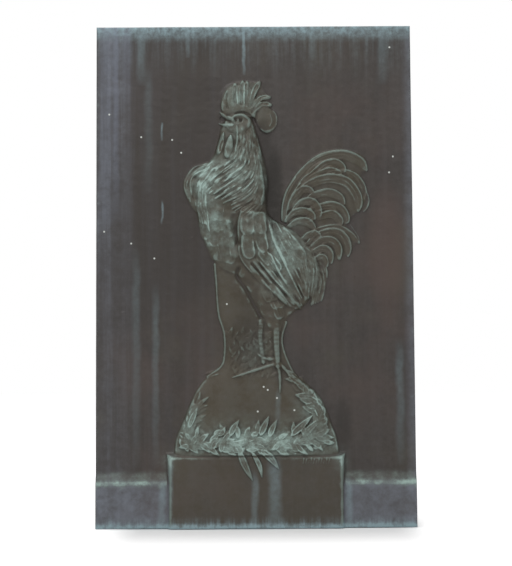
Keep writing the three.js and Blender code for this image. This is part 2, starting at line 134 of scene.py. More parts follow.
# Feather groups. Guides run from root to tip; length is a share of the guide, width is half a feather's.
FEATHERS = {
    "breast": {
        "guides": [[[-52, 318], [-50, 294], [-40, 264]], [[-17, 318], [-22, 294], [-18, 258]]],
        "rows": 5, "columns": 4, "length": 0.34, "width": 6.4, "lift": 0.7, "point": 4, "shape": "scale",
        "strands": 6,
    },
    "chest": {
        "guides": [[[-42, 364], [-55, 347], [-58.5, 326], [-54, 300]],
                   [[-38, 354], [-46, 337], [-47, 318], [-44, 298]]],
        "rows": 5, "columns": 5, "length": 0.36, "width": 1.8, "lift": 1.6, "point": 1.5, "shape": "hackle",
        "strands": 90,
    },
    "cape": {
        "guides": [[[-9, 388], [-24, 368], [-42, 354], [-55, 337]],
                   [[2, 380], [-6, 354], [-24, 339], [-43, 327]],
                   [[6, 366], [4, 340], [-5, 325], [-26, 315]], [[8, 354], [10, 332], [8, 318], [-2, 302]]],
        "rows": 6, "columns": 14, "length": 0.34, "width": 1.9, "lift": 2.0, "point": 1.5,
        "shape": "hackle", "strands": 230,
    },
    "shoulder": {
        "guides": [[[-44, 361], [-60, 356], [-69, 340], [-64, 322]],
                   [[-44, 352], [-54, 346], [-59, 336], [-57, 316]]],
        "rows": 3, "columns": 4, "length": 0.5, "width": 1.8, "lift": 1.1, "point": 1.5, "shape": "hackle",
        "strands": 40,
    },
    "nape": {
        "guides": [[[-14, 392], [-19, 378], [-26, 364]], [[1, 398], [5, 380], [9, 356]]],
        "rows": 3, "columns": 8, "length": 0.5, "width": 1.7, "lift": 1.5, "point": 1.5, "shape": "hackle",
        "strands": 80,
    },
    "flight": {
        "guides": [[[-9, 262], [9, 243], [31, 218]], [[14, 268], [31, 243], [48, 216]]],
        "rows": 1, "columns": 4, "length": 1, "width": 4.2, "lift": 1.9, "point": 3, "shape": "quill",
        "strands": 40,
    },
    "saddle": {
        "guides": [[[13, 306], [18, 282], [32, 252], [46, 224]],
                   [[28, 300], [43, 282], [56, 262], [64, 236]]],
        "rows": 5, "columns": 9, "length": 0.46, "width": 1.8, "lift": 1.9, "point": 1.5, "shape": "hackle",
        "strands": 190,
    },
    "thigh": {
        "guides": [[[8, 234], [15, 220], [23, 203]], [[18, 236], [27, 222], [31, 208]]],
        "rows": 3, "columns": 2, "length": 0.46, "width": 5.0, "lift": 1.3, "point": 5, "shape": "scale",
        "strands": 4,
    },
    "fringe": {
        "guides": [[[48, 284], [64, 270], [72, 250], [67, 222]],
                   [[40, 262], [52, 250], [58, 236], [54, 217]]],
        "rows": 7, "columns": 6, "length": 0.3, "width": 2.8, "lift": 1.7, "point": 2.4, "shape": "hackle",
        "strands": 30,
    },
    "fluff": {
        "guides": [[[44, 272], [48, 248], [49, 222]], [[58, 274], [64, 252], [59, 228]]],
        "rows": 5, "columns": 5, "length": 0.4, "width": 2.2, "lift": 1.7, "point": 2.4, "shape": "hackle",
        "strands": 80,
    },
}
ON_WING = ("flight", "saddle")
# Broad feathers at the front of the wing, laid over one another: middle line, half width and lift.
COVERTS = [
    ([[13, 268], [18, 261], [25, 252]], 5.2, 1.6), ([[5, 273], [10, 267], [17, 258]], 5.6, 1.7),
    ([[-6, 291], [-7, 278], [-4, 264]], 7.0, 1.7), ([[5, 296], [6, 284], [10, 270]], 6.4, 1.6),
    ([[-6, 316], [-7.5, 302], [-6, 287]], 8.0, 1.6), ([[6, 312], [6, 300], [8, 288]], 6.0, 1.5),
]

# Tail feathers, undermost first: the middle line of each from its root, its half width and its lift.
SICKLES = [
    ([[29, 303], [33, 327], [46, 348], [66, 364.5], [88, 369], [105, 362.5], [113, 352]], 5.8, 1.5),
    ([[104, 340], [110, 332], [112, 321], [108, 311]], 3.4, 1.1),
    ([[68, 348], [86, 352], [100, 347], [108, 336], [109, 322]], 4.4, 1.2),
    ([[38, 318], [46, 338], [60, 350], [72, 359], [82, 360], [88, 355.5], [88.5, 350]], 5.0, 1.6),
    ([[50, 341], [62, 348], [74, 352.5], [83, 351], [87, 346]], 3.8, 1.5),
    ([[40, 320], [48, 334], [58, 340.5], [68, 344], [78, 345], [92, 341], [101, 330], [104, 320],
      [103, 311]], 5.8, 1.7),
    ([[46, 316], [56, 326], [66, 330], [76, 330.5], [85, 326], [90, 318]], 4.8, 1.6),
    ([[48, 309], [62, 315.5], [76, 318], [86, 314], [91, 305], [91, 299]], 5.2, 1.7),
    ([[50, 302], [64, 307], [77, 309], [84, 304], [86, 297]], 4.8, 1.6),
    ([[34, 314], [39, 325], [46, 332.5], [53, 334], [60, 330]], 4.2, 1.9),
    ([[36, 306], [42, 316], [50, 321.5], [58, 320.5], [63, 314], [65, 306]], 5.0, 2.1),
    ([[31, 302], [38, 309.5], [46, 312], [55, 310], [60, 303]], 4.6, 2.2),
    ([[33, 296], [43, 302], [53, 301], [61, 293]], 4.6, 2.1),
    ([[52, 284], [62, 292.5], [80, 295.5], [94, 289.5], [104, 279]], 4.0, 1.2),
    ([[50, 276], [59, 285], [68, 289.5], [78, 291], [87, 287], [92.5, 277], [92.5, 266]], 5.4, 1.7),
    ([[46, 281], [52, 287], [60, 289], [66, 284]], 4.4, 2.0),
    ([[52, 271], [60, 278], [68, 282.5], [77, 282], [83, 275], [84, 263]], 5.0, 1.8),
    ([[53, 266], [60, 271], [68, 274.5], [74, 270.5], [76, 259]], 4.8, 1.9),
    ([[56, 258], [62, 264], [68, 265], [72, 256]], 4.4, 1.8),
]
# Comb tines from root to tip, with their half widths.
TINES = [
    ([[-26, 416], [-27, 426], [-26.5, 435]], 2.6), ([[-18.5, 422], [-18.8, 433], [-18.6, 442]], 3.2),
    ([[-12, 420], [-12, 434], [-11, 445]], 2.8), ([[-7.5, 420], [-7.5, 434], [-6.5, 444.5]], 2.6),
    ([[-4, 418], [0, 432], [6.5, 444]], 3.8), ([[-1, 416], [7, 426], [17.5, 427.5]], 3.2),
    ([[-1, 412], [8, 420], [18.5, 419.5]], 3.2),
]

# Raised lines (half width, lift) and carved lines (half width, depth) drawn over the masses.
RAISED = [
    ([[-13, 313], [-16, 300], [-16, 285], [-14, 266], [-3, 250]], 1.2, 1.2),
    ([[5, 262], [15, 248], [30, 232], [46, 214]], 0.9, 1.1),
    ([[15, 270], [27, 245], [38, 228]], 1.1, 1.1),
    ([[-22, 405], [-18, 408.4], [-11, 408.6], [-5, 404.5]], 1.5, 1.5),
    ([[-25, 384], [-28.5, 375], [-27, 368]], 0.8, 0.7),
    ([[-17, 398], [-16.6, 385], [-19, 371]], 1.2, 1.1),
    ([[19, 414], [22, 410], [23, 404], [21.5, 398], [17, 393.5], [11, 392.5], [6, 396]], 1.2, 0.9),
    ([[16, 411], [18, 403], [15, 397]], 0.9, 0.5),
    ([[27, 302], [28, 318], [33, 334], [42, 347]], 1.0, 1.0),
    ([[31, 305], [34, 321], [40, 333], [47, 341]], 0.9, 0.9),
    ([[95, 299], [103, 287], [105, 279]], 0.8, 0.8),
    ([[-46, 361], [-60, 357], [-68, 347], [-70, 338], [-66, 324]], 1.0, 0.9),
    ([[-48, 355], [-60, 349], [-64, 340], [-62, 328]], 0.9, 0.8),
    ([[-50, 150.5], [-44, 153], [-38, 154]], 0.9, 0.9),
    ([[-49, 146], [-43, 149], [-36, 151]], 0.8, 0.8),
]
CARVED = [
    ([[-20, 311], [-20.5, 295], [-15, 276]], 3.2, 2.4),
    ([[-14, 260], [-18, 248], [-10, 236], [0, 217], [10, 198]], 1.8, 1.7),
    ([[-5, 262], [5, 250], [16, 236]], 1.2, 1.8),
    ([[2, 263], [16, 245], [33, 225]], 1.2, 1.9),
    ([[12, 262], [29, 240], [47, 218]], 1.2, 1.7),
    ([[-22, 401.5], [-28, 404.5], [-34, 407.5]], 1.3, 2.2),
    ([[-15.3, 390], [-15, 380]], 0.8, 1.1),
    ([[-20, 409.5], [-12, 411.8], [-4, 409], [2, 400]], 1.2, 1.5),
    ([[-31, 384], [-34, 377], [-34, 371]], 1.0, 1.3),
    ([[2, 404], [7, 393], [11, 378], [17, 358], [19, 340], [18, 322], [22, 309]], 6.0, 0.8),
    ([[86, 78], [84, 92], [78, 106], [74, 120]], 6.0, 0.6),
]
BEAK = [
    ([[-22, 403.5], [-29, 408.5], [-35, 413]], 3.0, 3.4),
    ([[-22, 398.5], [-29, 399], [-36.5, 401.5]], 2.4, 2.8),
]
# Rounded drops (start, end, half width, lift) and domes (centre, reach across and up, rise) of the head.
COMB_LOBE = ([9, 419], [14.5, 391.5], 10.4, 2.4)
CHEEK = ([-29, 400], [-3, 402], 11, 1.8)
WATTLES = [([-30, 392], [-36, 369], 3.6, 2.0), ([-23, 389], [-27, 365], 5.2, 2.8)]
EAR = [((-11.5, 393.5), (4.0, 4.6), 1.3), ((-11.5, 394), (1.9, 2.4), 1.9)]
EYE_SOCKET = [[-19.5, 403.2], [-15.5, 404], [-11.5, 403]]
EYE = ((-15.8, 403.6), (1.7, 1.6), 1.3)
# Shanks: middle line, half widths at top and bottom, and lift.
LEGS = [
    ([[21, 204], [21, 180], [22, 158]], 4.2, 3.0, 2.6),
    ([[6, 203], [5, 186], [8, 162]], 3.2, 2.4, 1.5),
]
TOES = [
    [[22, 161], [8, 157], [-8, 152], [-24, 147]],
    [[22, 162], [24, 148], [24, 131]],
    [[23, 162], [32, 152], [40, 141]],
    [[20, 165], [10, 166], [2, 170]],
]
STEMS = [
    ([[-72, 82], [-40, 83], [0, 81], [36, 83], [58, 90], [64, 104], [60, 120], [50, 134], [43, 145]], 24),
    ([[-66, 82], [-67, 96], [-63, 108], [-58, 120]], 7),
]
LONE_LEAVES = [
    ([[-25, 90], [-22, 98], [-16, 106]], 3.2), ([[4, 90], [8, 99], [13, 109.5]], 3.4),
    ([[13, 89], [16, 97], [21, 106]], 3.2),
    ([[34, 90], [44, 99], [56, 110]], 3.6), ([[46, 89], [54, 98], [65, 107]], 3.4),
    ([[62, 116], [57, 124], [47, 129]], 3.4),
    ([[66, 112], [60, 120], [49, 121]], 3.2), ([[-66, 98], [-62, 108], [-57, 119]], 3.0),
]
HANGING_LEAVES = [([[-17, 77], [-11, 62], [-3, 46]], 3.6), ([[-4, 75], [3, 62], [6, 49]], 2.6),
                  ([[4, 77], [14, 69], [23, 57]], 3.8)]
SPECKS = [(137, 478), (135, 351), (139, 367), (-145, 411), (-113, 388), (-82, 385), (-73, 372), (-150, 293),
          (-123, 281), (-100, 266), (-28, 220), (21, 127), (2, 114), (38, 115), (12, 135), (8, 138)]

# Row of slight strokes on the plinth: how many, the foot of the first, their step, slant and height.
STROKES, STROKE_FOOT, STROKE_STEP, STROKE_SLANT, STROKE_HEIGHT = 11, (46, 62.8), 2.5, 1.1, 6.0
# Places of the lights in metres, and the sides of their squares.
KEY_SPOT, KEY_SIZE = (-0.45, -1.5, 1.5), 1.1
TOP_SPOT, TOP_SIZE = (-0.15, -0.25, 1.35), 0.8

# Verdigris that has settled on the figure: centre, reach across and up, and how strong it is.
BLOOM = [
    ((-47, 342), (15, 28), 1.25), ((-18, 350), (28, 26), 0.8), ((28, 270), (22, 34), 0.95),
    ((-12, 426), (17, 16), 0.8),
    ((-22, 392), (14, 16), 0.5), ((-42, 300), (14, 26), 0.9), ((-30, 288), (16, 26), 0.6),
    ((0, 288), (18, 26), 0.55), ((26, 238), (24, 16), 0.5), ((58, 250), (12, 24), 0.4),
    ((0, 84), (86, 16), 1.2), ((58, 116), (15, 24), 0.75), ((-64, 98), (13, 24), 0.7),
    ((75, 340), (46, 40), 0.1),
    ((40, 316), (14, 18), 0.3), ((6, 62), (16, 12), 0.6),
    ((4, 172), (16, 20), 0.3),
]
# Painted shade, with some dirt, in the hollows of the figure: centre, reach across and up, and strength.
SHADE = [((-19.5, 294), (4, 18), 0.6), ((-6, 225), (16, 30), 0.45), ((24, 148), (5, 16), 0.3)]
# Painted shade with some dirt: soft dark patches on the plate and panel beside the neck, head and mound and
# between the legs: centre, reach across and up, and strength.
PAINTED_SHADE_PATCHES = [((19, 334), (13, 60), 0.95), ((10, 384), (9, 28), 0.5), ((86, 98), (10, 38), 0.5),
        ((-8, 182), (30, 34), 0.4)]
# Runs of verdigris down the face: x, top, bottom, half width in millimetres, and strength.
RUNS = [
    (-148, 560, 300, 10, 0.4), (-138, 560, 310, 5, 0.65), (-127, 540, 420, 7, 0.4),
    (-113, 530, 440, 6, 0.4),
    (-66, 520, 468, 4, 0.6), (-10, 510, 450, 2.4, 0.85), (-92, 404, 384, 1.6, 0.7),
    (-92, 325, 300, 1.6, 0.7),
    (-118, 290, 58, 6, 0.22), (-99, 250, 58, 5, 0.26), (-106, 470, 330, 6, 0.16), (143, 190, 60, 6, 0.3),
    (-1.5, 60, -20, 5, 0.4), (18, 76, -20, 9, 0.48), (-92, 52, -10, 5, 0.55), (-84, 72, 10, 4, 0.35),
    (91, 52, -10, 5, 0.55), (130, 530, 440, 7, 0.3), (60, 520, 465, 6, 0.25), (22, 138, 96, 4, 0.26),
]


def through(at, knots):
    """Smooth curve through knots [at, value]: a cubic between neighbours whose slope at each knot is that of
    the line between the knots on both sides, and level beyond the end knots."""
    x, y = np.array(knots, float).T
    first, last = (y[1] - y[0]) / (x[1] - x[0]), (y[-1] - y[-2]) / (x[-1] - x[-2])
    slope = np.concatenate([[first], (y[2:] - y[:-2]) / (x[2:] - x[:-2]), [last]])
    at = np.clip(at, x[0], x[-1])
    i = np.clip(np.searchsorted(x, at, side="right") - 1, 0, len(x) - 2)
    span = x[i + 1] - x[i]
    s = (at - x[i]) / span
    rise = s * s * (3 - 2 * s)
    return y[i] + (y[i + 1] - y[i]) * rise + span * s * (1 - s) * ((1 - s) * slope[i] - s * slope[i + 1])


def curve(places, count):
    """A smooth path through places [x, z] as count points: each coordinate is a cubic through its knots."""
    places = np.array(places, float)
    at = np.linspace(0, len(places) - 1, count)
    knots = np.arange(len(places))
    return np.stack([through(at, np.stack([knots, places[:, k]], 1)) for k in (0, 1)], 1)


def step_up(value):
    """Eased step: 0 below 0, 1 above 1, and a smooth cubic between."""
    value = np.clip(value, 0, 1)
    return value * value * (3 - 2 * value)


class Face:
    """The front as a grid of places, with the height of the relief in millimetres at each."""

    def __init__(self, width, height, cell):
        self.cell = cell
        self.x = np.linspace(-width / 2, width / 2, round(width / cell) + 1)
        self.z = np.linspace(0, height, round(height / cell) + 1)
        self.X, self.Z = np.meshgrid(self.x, self.z)
        self.relief = np.zeros_like(self.X)
        self.marks = {}

    def window(self, points, reach):
        """Rows and columns of the grid within reach of a set of points."""
        low, high = points.min(0) - reach, points.max(0) + reach
        columns = slice(*np.searchsorted(self.x, [low[0], high[0]]))
        rows = slice(*np.searchsorted(self.z, [low[1], high[1]]))
        return rows, columns

    def blurred(self, field, reach):
        """Field smoothed by a bell curve of that reach in millimetres, as a product of spectra."""
        pad = int(4 * reach / self.cell) + 1
        wide = np.pad(field, pad, mode="reflect")
        fz = np.fft.fftfreq(wide.shape[0])[:, None]
        fx = np.fft.rfftfreq(wide.shape[1])[None, :]
        bell = np.exp(-2 * (math.pi * reach / self.cell) ** 2 * (fz * fz + fx * fx))
        smooth = np.fft.irfft2(np.fft.rfft2(wide) * bell, s=wide.shape)
        return smooth[pad:-pad, pad:-pad]

    def lumps(self, size, seed):
        """Gentle unevenness of about that size: a sum of plane waves with seeded directions and phases."""
        rng = np.random.default_rng(seed)
        field = np.zeros_like(self.X)
        for _ in range(18):
            angle, phase = rng.uniform(0, 2 * math.pi, 2)
            wave = 2 * math.pi / (size * rng.uniform(0.7, 1.8))
            field += np.sin(wave * (self.X * math.cos(angle) + self.Z * math.sin(angle)) + phase)
        return field / 3

    def mass(self, left, right, depth, edge, soft=1.0, swell=0.5):
        """Rounded mass between two edges that are curves of height: at a share u across, its height is the
        edge step plus the rest of the depth times a bulge: 1 - |2u - 1| to the power 2.2, all of it to the
        power swell."""
        near, far = through(self.z, left)[:, None], through(self.z, right)[:, None]
        deep = through(self.z, depth)[:, None]
        u = np.clip((self.X - near) / (far - near), 0, 1)
        bulge = np.clip(1 - np.abs(2 * u - 1) ** 2.2, 0, 1) ** swell
        inside = np.minimum.reduce([self.X - near, far - self.X, self.Z - left[0][0], left[-1][0] - self.Z])
        return step_up(inside / soft) * (edge + (deep - edge) * bulge)

    def along(self, spine, reach):
        """Window round a spine with, at each place, the share s along the spine of the nearest point, the
        distance across it (positive on its right) and how far the place lies beyond its two ends."""
        rows, columns = self.window(spine, reach)
        X, Z = self.X[rows, columns], self.Z[rows, columns]
        near = ((X[..., None] - spine[:, 0]) ** 2 + (Z[..., None] - spine[:, 1]) ** 2).argmin(-1)
        way = np.gradient(spine, axis=0)
        pace = np.linalg.norm(way, axis=1) + 1e-9
        way = way / pace[:, None]
        dx, dz = X - spine[near, 0], Z - spine[near, 1]
        ahead = dx * way[near, 0] + dz * way[near, 1]
        across = dx * way[near, 1] - dz * way[near, 0]
        s = (near + ahead / pace[near]) / (len(spine) - 1)
        before = np.where((near == 0) & (ahead < 0), -ahead, 0)
        after = np.where((near == len(spine) - 1) & (ahead > 0), ahead, 0)
        return rows, columns, np.clip(s, 0, 1), across, before + after

    def lay(self, spine, width, lift, shape, ground, soft=0.7, cover=False):
        """Lay a strip over the ground: its top is the ground plus lift(s) times shape(s, t), where t is the
        distance across over width(s), and it falls to the ground over a soft edge. The higher form wins,
        unless the strip covers what was laid before it."""
        rows, columns, s, across, beyond = self.along(spine, width(np.linspace(0, 1, 33)).max() + 1)
        half = np.maximum(width(s), 1e-3)
        t = np.clip(across / half, -1, 1)
        wall = step_up((half - np.abs(across) - beyond) / soft + 0.35)
        wall = np.where(half < 0.05, 0, wall)
        under, raised = self.relief[rows, columns], lift(s) * shape(s, t)
        if cover:
            laid = under + (ground[rows, columns] + raised - under) * wall
        else:
            laid = np.maximum(under, np.where(wall > 0, ground[rows, columns] + raised * wall, -9))
        self.relief[rows, columns] = laid

    def carve(self, spine, width, depth):
        """Press a groove along a spine: a bell-shaped hollow that fades at its ends."""
        rows, columns, s, across, beyond = self.along(spine, 3 * width)
        fade = step_up(s / 0.12) * step_up((1 - s) / 0.12)
        self.relief[rows, columns] -= depth * fade * np.exp(-(across / width) ** 2 - (beyond / width) ** 2)

    def boss(self, centre, radius, rise, ground):
        """Small dome: the rise times the root of 1 - (distance over radius) squared, over the ground."""
        spot = np.array([centre], float)
        rows, columns = self.window(spot, np.max(radius) + 1)
        aside = (self.X[rows, columns] - centre[0]) / radius[0]
        above = (self.Z[rows, columns] - centre[1]) / radius[1]
        far, under = np.hypot(aside, above), self.relief[rows, columns]
        top = ground[rows, columns] + rise * np.sqrt(np.clip(1 - far * far, 0, 1))
        self.relief[rows, columns] = np.where(far < 1, np.maximum(under, top), under)

    def bell(self, centre, reach):
        """Soft patch: a bell curve round a centre with its own reach across and up."""
        return np.exp(-((self.X - centre[0]) / reach[0]) ** 2 - ((self.Z - centre[1]) / reach[1]) ** 2)


# Widths and lifts along a strip, as functions of the share s from its root to its tip.
def level(value):
    """The same value all along."""
    return lambda s: value + 0 * s


def spindle(width):
    """Closed at both ends: the width times the root of half a sine wave."""
    return lambda s: width * np.sin(math.pi * np.clip(s, 0.02, 0.98)) ** 0.5


def blunt(width, power):
    """Full between rounded ends: the width times the root of 1 - (2s - 1) to that power."""
    return lambda s: width * np.sqrt(np.clip(1 - (2 * s - 1) ** power, 0, 1))


def tapered(width, point, root):
    """From a share of the width at the root to a closed tip: the width times the root of 1 - s to the power
    point, times a straight rise from the share at the root to 1."""
    return lambda s: width * np.sqrt(np.clip(1 - s ** point, 0, 1)) * (root + (1 - root) * s)


# Sections across a strip, as a share of its lift. s runs from root to tip and t from edge to edge, -1 to 1.
def hackle(s, t):
    """Narrow pointed feather: a ridge with a fine quill line along the middle."""
    return 1 - 0.62 * np.abs(t) ** 1.5 + 0.2 * np.exp(-((t / 0.18) ** 2))


def scale(s, t):
    """Rounded body feather: hollow towards its root, with a raised rim round the tip and a low quill."""
    rim = np.exp(-(((np.abs(t) - 0.8) / 0.24) ** 2)) * step_up(s / 0.5)
    return 0.5 + 0.42 * np.maximum(rim, step_up((s - 0.72) / 0.2)) + 0.12 * np.exp(-((t / 0.16) ** 2))


def quill(s, t):
    """Flight feather: nearly flat vanes, a raised quill and an upturned edge."""
    return 0.72 + 0.22 * np.exp(-(((np.abs(t) - 0.85) / 0.16) ** 2)) + 0.35 * np.exp(-((t / 0.13) ** 2))


def sickle(s, t):
    """Tail feather: a grooved vane that falls from its raised outer edge inwards, with a low quill."""
    edge = 0.5 * np.exp(-(((t + 0.84) / 0.16) ** 2)) + 0.14 * np.exp(-(((t - 0.1) / 0.12) ** 2))
    return 0.68 - 0.3 * t + edge + 0.05 * np.cos(15 * t)


def blade(s, t):
    """Leaf: hollow between raised edges, with a raised rib along the middle."""
    return 0.66 + 0.36 * np.exp(-(((np.abs(t) - 0.78) / 0.2) ** 2)) + 0.26 * np.exp(-((t / 0.16) ** 2))


def rounded(s, t):
    """Plain round section."""
    return np.sqrt(np.clip(1 - t * t, 0, 1))


SHAPES = {"hackle": hackle, "scale": scale, "quill": quill}


def feather_group(face, ground, guides, rows, columns, length, width, lift, point, shape, strands, rng):
    """Feathers in rows along the guides and columns across them, each a strip whose width closes to a point
    at its tip and whose lift grows from root to tip, so that tips stand over the roots of the next row.
    Fine strands with seeded places are drawn over them along the same guides."""
    paths = np.stack([curve(guide, 81) for guide in guides])
    share = np.linspace(0, 1, 81)

    def stretch(across, start, end, count):
        u = np.clip(across, 0, 1) * (len(paths) - 1)
        i = min(int(u), len(paths) - 2)
        path = paths[i] + (paths[i + 1] - paths[i]) * (u - i)
        at = np.linspace(start, min(end, 1), count)
        return np.stack([np.interp(at, share, path[:, 0]), np.interp(at, share, path[:, 1])], 1)

    for row in range(rows):
        for column in range(columns):
            wander = rng.uniform(-0.28, 0.28, 4)
            start = (1 - length) * row / max(rows - 1, 1) + wander[2] * length * 0.35
            start = np.clip(start, 0, 1 - 0.5 * length)
            spine = stretch((column + 0.25 + 0.5 * (row % 2) + wander[0]) / columns, start,
                            start + length * (1 + 0.5 * wander[1]), 25)
            wide = width * (1 + 0.4 * wander[3])
            high = lift * (1 + 0.5 * wander[0])
            rising = lambda s: high * (0.12 + 0.88 * s)
            face.lay(spine, tapered(wide, point, 0.65), rising, SHAPES[shape], ground)
    base = face.blurred(face.relief, 0.9)
    for _ in range(strands):
        across, start, run, wide, high = rng.uniform([0, 0, 0.12, 0.45, 0.35], [1, 0.85, 0.4, 0.8, 1.0])
        face.lay(stretch(across, start, start + run, 16), spindle(wide), level(high), rounded, base,
                 soft=0.5)


def drop(face, ground, start, end, width, lift, skew=1.0):
    """Rounded drop from start to end: half width times the root of 4q(1 - q), with q the share along it to
    the power skew, so a skew over 1 hangs its weight at the end."""
    spine = curve([start, end], 33)
    face.lay(spine, lambda s: width * np.sqrt(np.clip(4 * s ** skew * (1 - s ** skew), 0, 1)), level(lift),
             rounded, ground)


def opening(s):
    """How far a tail feather opens: a rising part of a sine wave, closed at the tip."""
    return np.sqrt(np.clip(1 - s ** 6, 0, 1)) * (0.4 + 0.6 * np.sin(s * math.pi * 0.62))


def tail(face, rng):
    """Tail: a low fan, sickle feathers that open towards their middle and close at the tip, and fine strands
    drawn along them."""
    face.relief = np.maximum(face.relief, face.mass(**TAIL_FAN, soft=3.0))
    fan = face.blurred(face.relief, 1.0)
    for places, width, lift in SICKLES:
        face.lay(curve(places, 70), lambda s: width * opening(s), level(lift), sickle, fan, cover=True)
    base = face.blurred(face.relief, 0.9)
    for _ in range(240):
        places, width, _ = SICKLES[rng.integers(len(SICKLES))]
        spine = curve(places, 70)
        first = rng.integers(0, 46)
        way = np.gradient(spine, axis=0)
        aside = np.stack([way[:, 1], -way[:, 0]], 1) / np.linalg.norm(way, axis=1)[:, None]
        line = (spine + rng.uniform(-0.8, 0.8) * width * aside)[first:first + rng.integers(10, 24)]
        high = rng.uniform(0.25, 0.7)
        face.lay(line, spindle(0.62), level(high), rounded, base, soft=0.5)


def comb(face, rng):
    """Comb: a low blade over the brow, tines fanned out from it, a round lobe behind and strands."""
    face.relief = np.maximum(face.relief, face.mass(**COMB_BACK, soft=3.0))
    face.relief = np.maximum(face.relief, face.mass(**COMB_BLADE, soft=2.0))
    none = np.zeros_like(face.X)
    for places, width in TINES:
        falling = lambda s: 4.8 - 2.6 * s
        face.lay(curve(places, 33), tapered(width, 5, 0.6), falling, scale, none, cover=True)
    drop(face, none, *COMB_LOBE)
    base = face.blurred(face.relief, 0.9)
    for _ in range(40):
        places, _ = TINES[rng.integers(len(TINES))]
        line = curve(places, 33) + rng.uniform(-2.4, 2.4, 2)
        first = rng.integers(0, 16)
        face.lay(line[first:first + 14], spindle(0.8), level(0.7), rounded, base, soft=0.5)


def head(face, ground):
    """Face of the cockerel: cheek, open beak, round ear lobe and hanging wattles."""
    drop(face, ground, *CHEEK)
    cheek = face.blurred(face.relief, 0.8)
    for places, width, lift in BEAK:
        face.lay(curve(places, 33), lambda s: width * (1 - s ** 2.2), lambda s: lift - 0.8 * s, rounded,
                 ground)
    for dome in EAR:
        face.boss(*dome, cheek)
    for wattle in WATTLES:
        drop(face, ground, *wattle, skew=1.5)


def eye(face):
    """Eye: a socket pressed in below the brow, with the round of the eye in it."""
    face.carve(curve(EYE_SOCKET, 24), 2.3, 2.2)
    face.boss(*EYE, face.blurred(face.relief, 0.6))


def knuckles(s):
    """Half width of a toe: the root of 1 - s squared, with a wave for its joints that fades to the claw."""
    return 2.1 * np.sqrt(np.clip(1 - s ** 2, 0, 1)) + 0.2 * np.cos(22 * s) * (1 - s)


def legs(face, ground):
    """Shanks banded with scutes, and toes with knuckles that close to claws."""
    for spine, top, bottom, lift in LEGS:
        face.lay(curve(spine, 41), lambda s: top + (bottom - top) * s,
                 lambda s: lift + 0.1 * np.cos(70 * s), rounded, ground)
    for spine in TOES:
        face.lay(curve(spine, 41), knuckles, lambda s: 1.7 + 0.15 * np.cos(22 * s), rounded, ground)


def on_mound(x, z):
    """Whether a place lies on the mound, at least 2 mm inside its edges."""
    return (x > through(z, MOUND["left"]) + 2) & (x < through(z, MOUND["right"]) - 2)


def laurel(face, ground, rng):
    """Laurel: leaves leave a stem to both sides and point along it, kept inside the mound's edges; single
    leaves stand above them and a few hang down over the plinth."""
    for places, nodes in STEMS:
        stem = curve(places, 200)
        way = np.gradient(stem, axis=0)
        slim = 1.0 if nodes > 10 else 0.62
        for k in range(nodes):
            for spread in (-46, -18, 14, 44):
                at = int(np.clip((k + rng.uniform(0, 0.9)) / nodes, 0, 1) * 199)
                angle = math.atan2(way[at, 1], way[at, 0]) + math.radians(spread + rng.uniform(-10, 10))
                ray = np.array([math.cos(angle), math.sin(angle)])
                reach = np.arange(4, rng.uniform(13, 20))
                height = stem[at, 1] + reach * ray[1]
                across = stem[at, 0] + reach * ray[0]
                inside = on_mound(across, height)
                inside &= height > 71
                span = max(reach[inside].max(initial=5), 6)
                end = stem[at] + span * ray
                bend = (stem[at] + end) / 2 + rng.uniform(-1.6, 1.6) * np.array([-ray[1], ray[0]])
                leaf(face, ground, [stem[at], bend, end], slim * rng.uniform(2.5, 3.6),
                     slim * rng.uniform(0.8, 2.6))
    for _ in range(100):
        foot = np.array([rng.uniform(-74, 74), rng.uniform(74, 92)])
        angle = math.radians(rng.normal(40 if foot[0] > -48 else 105, 38))
        end = foot + rng.uniform(9, 15) * np.array([math.cos(angle), math.sin(angle)])
        if end[1] > 72 and on_mound(*end):
            leaf(face, ground, [foot, (foot + end) / 2 + rng.uniform(-1, 1, 2), end], rng.uniform(2.0, 3.0),
                 rng.uniform(0.6, 2.6))
    for places, width in LONE_LEAVES + HANGING_LEAVES:
        leaf(face, ground, places, width, 2.5)


def leaf(face, ground, places, width, lift):
    """One leaf along a bent line, widest before its middle and closing to a point at both ends."""
    face.lay(curve(places, 25), lambda s: width * np.sin(math.pi * np.clip(s, 0, 1) ** 0.8) ** 0.8,
             level(lift), blade, ground, soft=0.6)


def undergrowth(face, ground, rng):
    """Low strokes of foliage on the panel between the legs and about the feet."""
    for _ in range(110):
        place = np.array([rng.uniform(-27, 19), rng.uniform(144, 190)])
        angle = math.radians(rng.normal(84, 24))
        end = place + rng.uniform(6, 13) * np.array([math.cos(angle), math.sin(angle)])
        leaf(face, ground, [place, (place + end) / 2 + rng.uniform(-1, 1, 2), end], rng.uniform(0.9, 2.0),
             rng.uniform(0.4, 1.0))


def plate_forms(face, ledge_depth, plinth_depth):
    """Ledge with a sloping top, and the plinth: a flat front with drafted sides and a drafted top edge."""
    ledge = np.interp(face.Z, LEDGE_SLOPE, [ledge_depth, ledge_depth - LEDGE_ROUND, 0])
    draft = np.minimum(PLINTH_HALF - np.abs(face.X), PLINTH_TOP - face.Z) / PLINTH_DRAFT
    return np.maximum(ledge, plinth_depth * np.clip(draft, 0, 1))


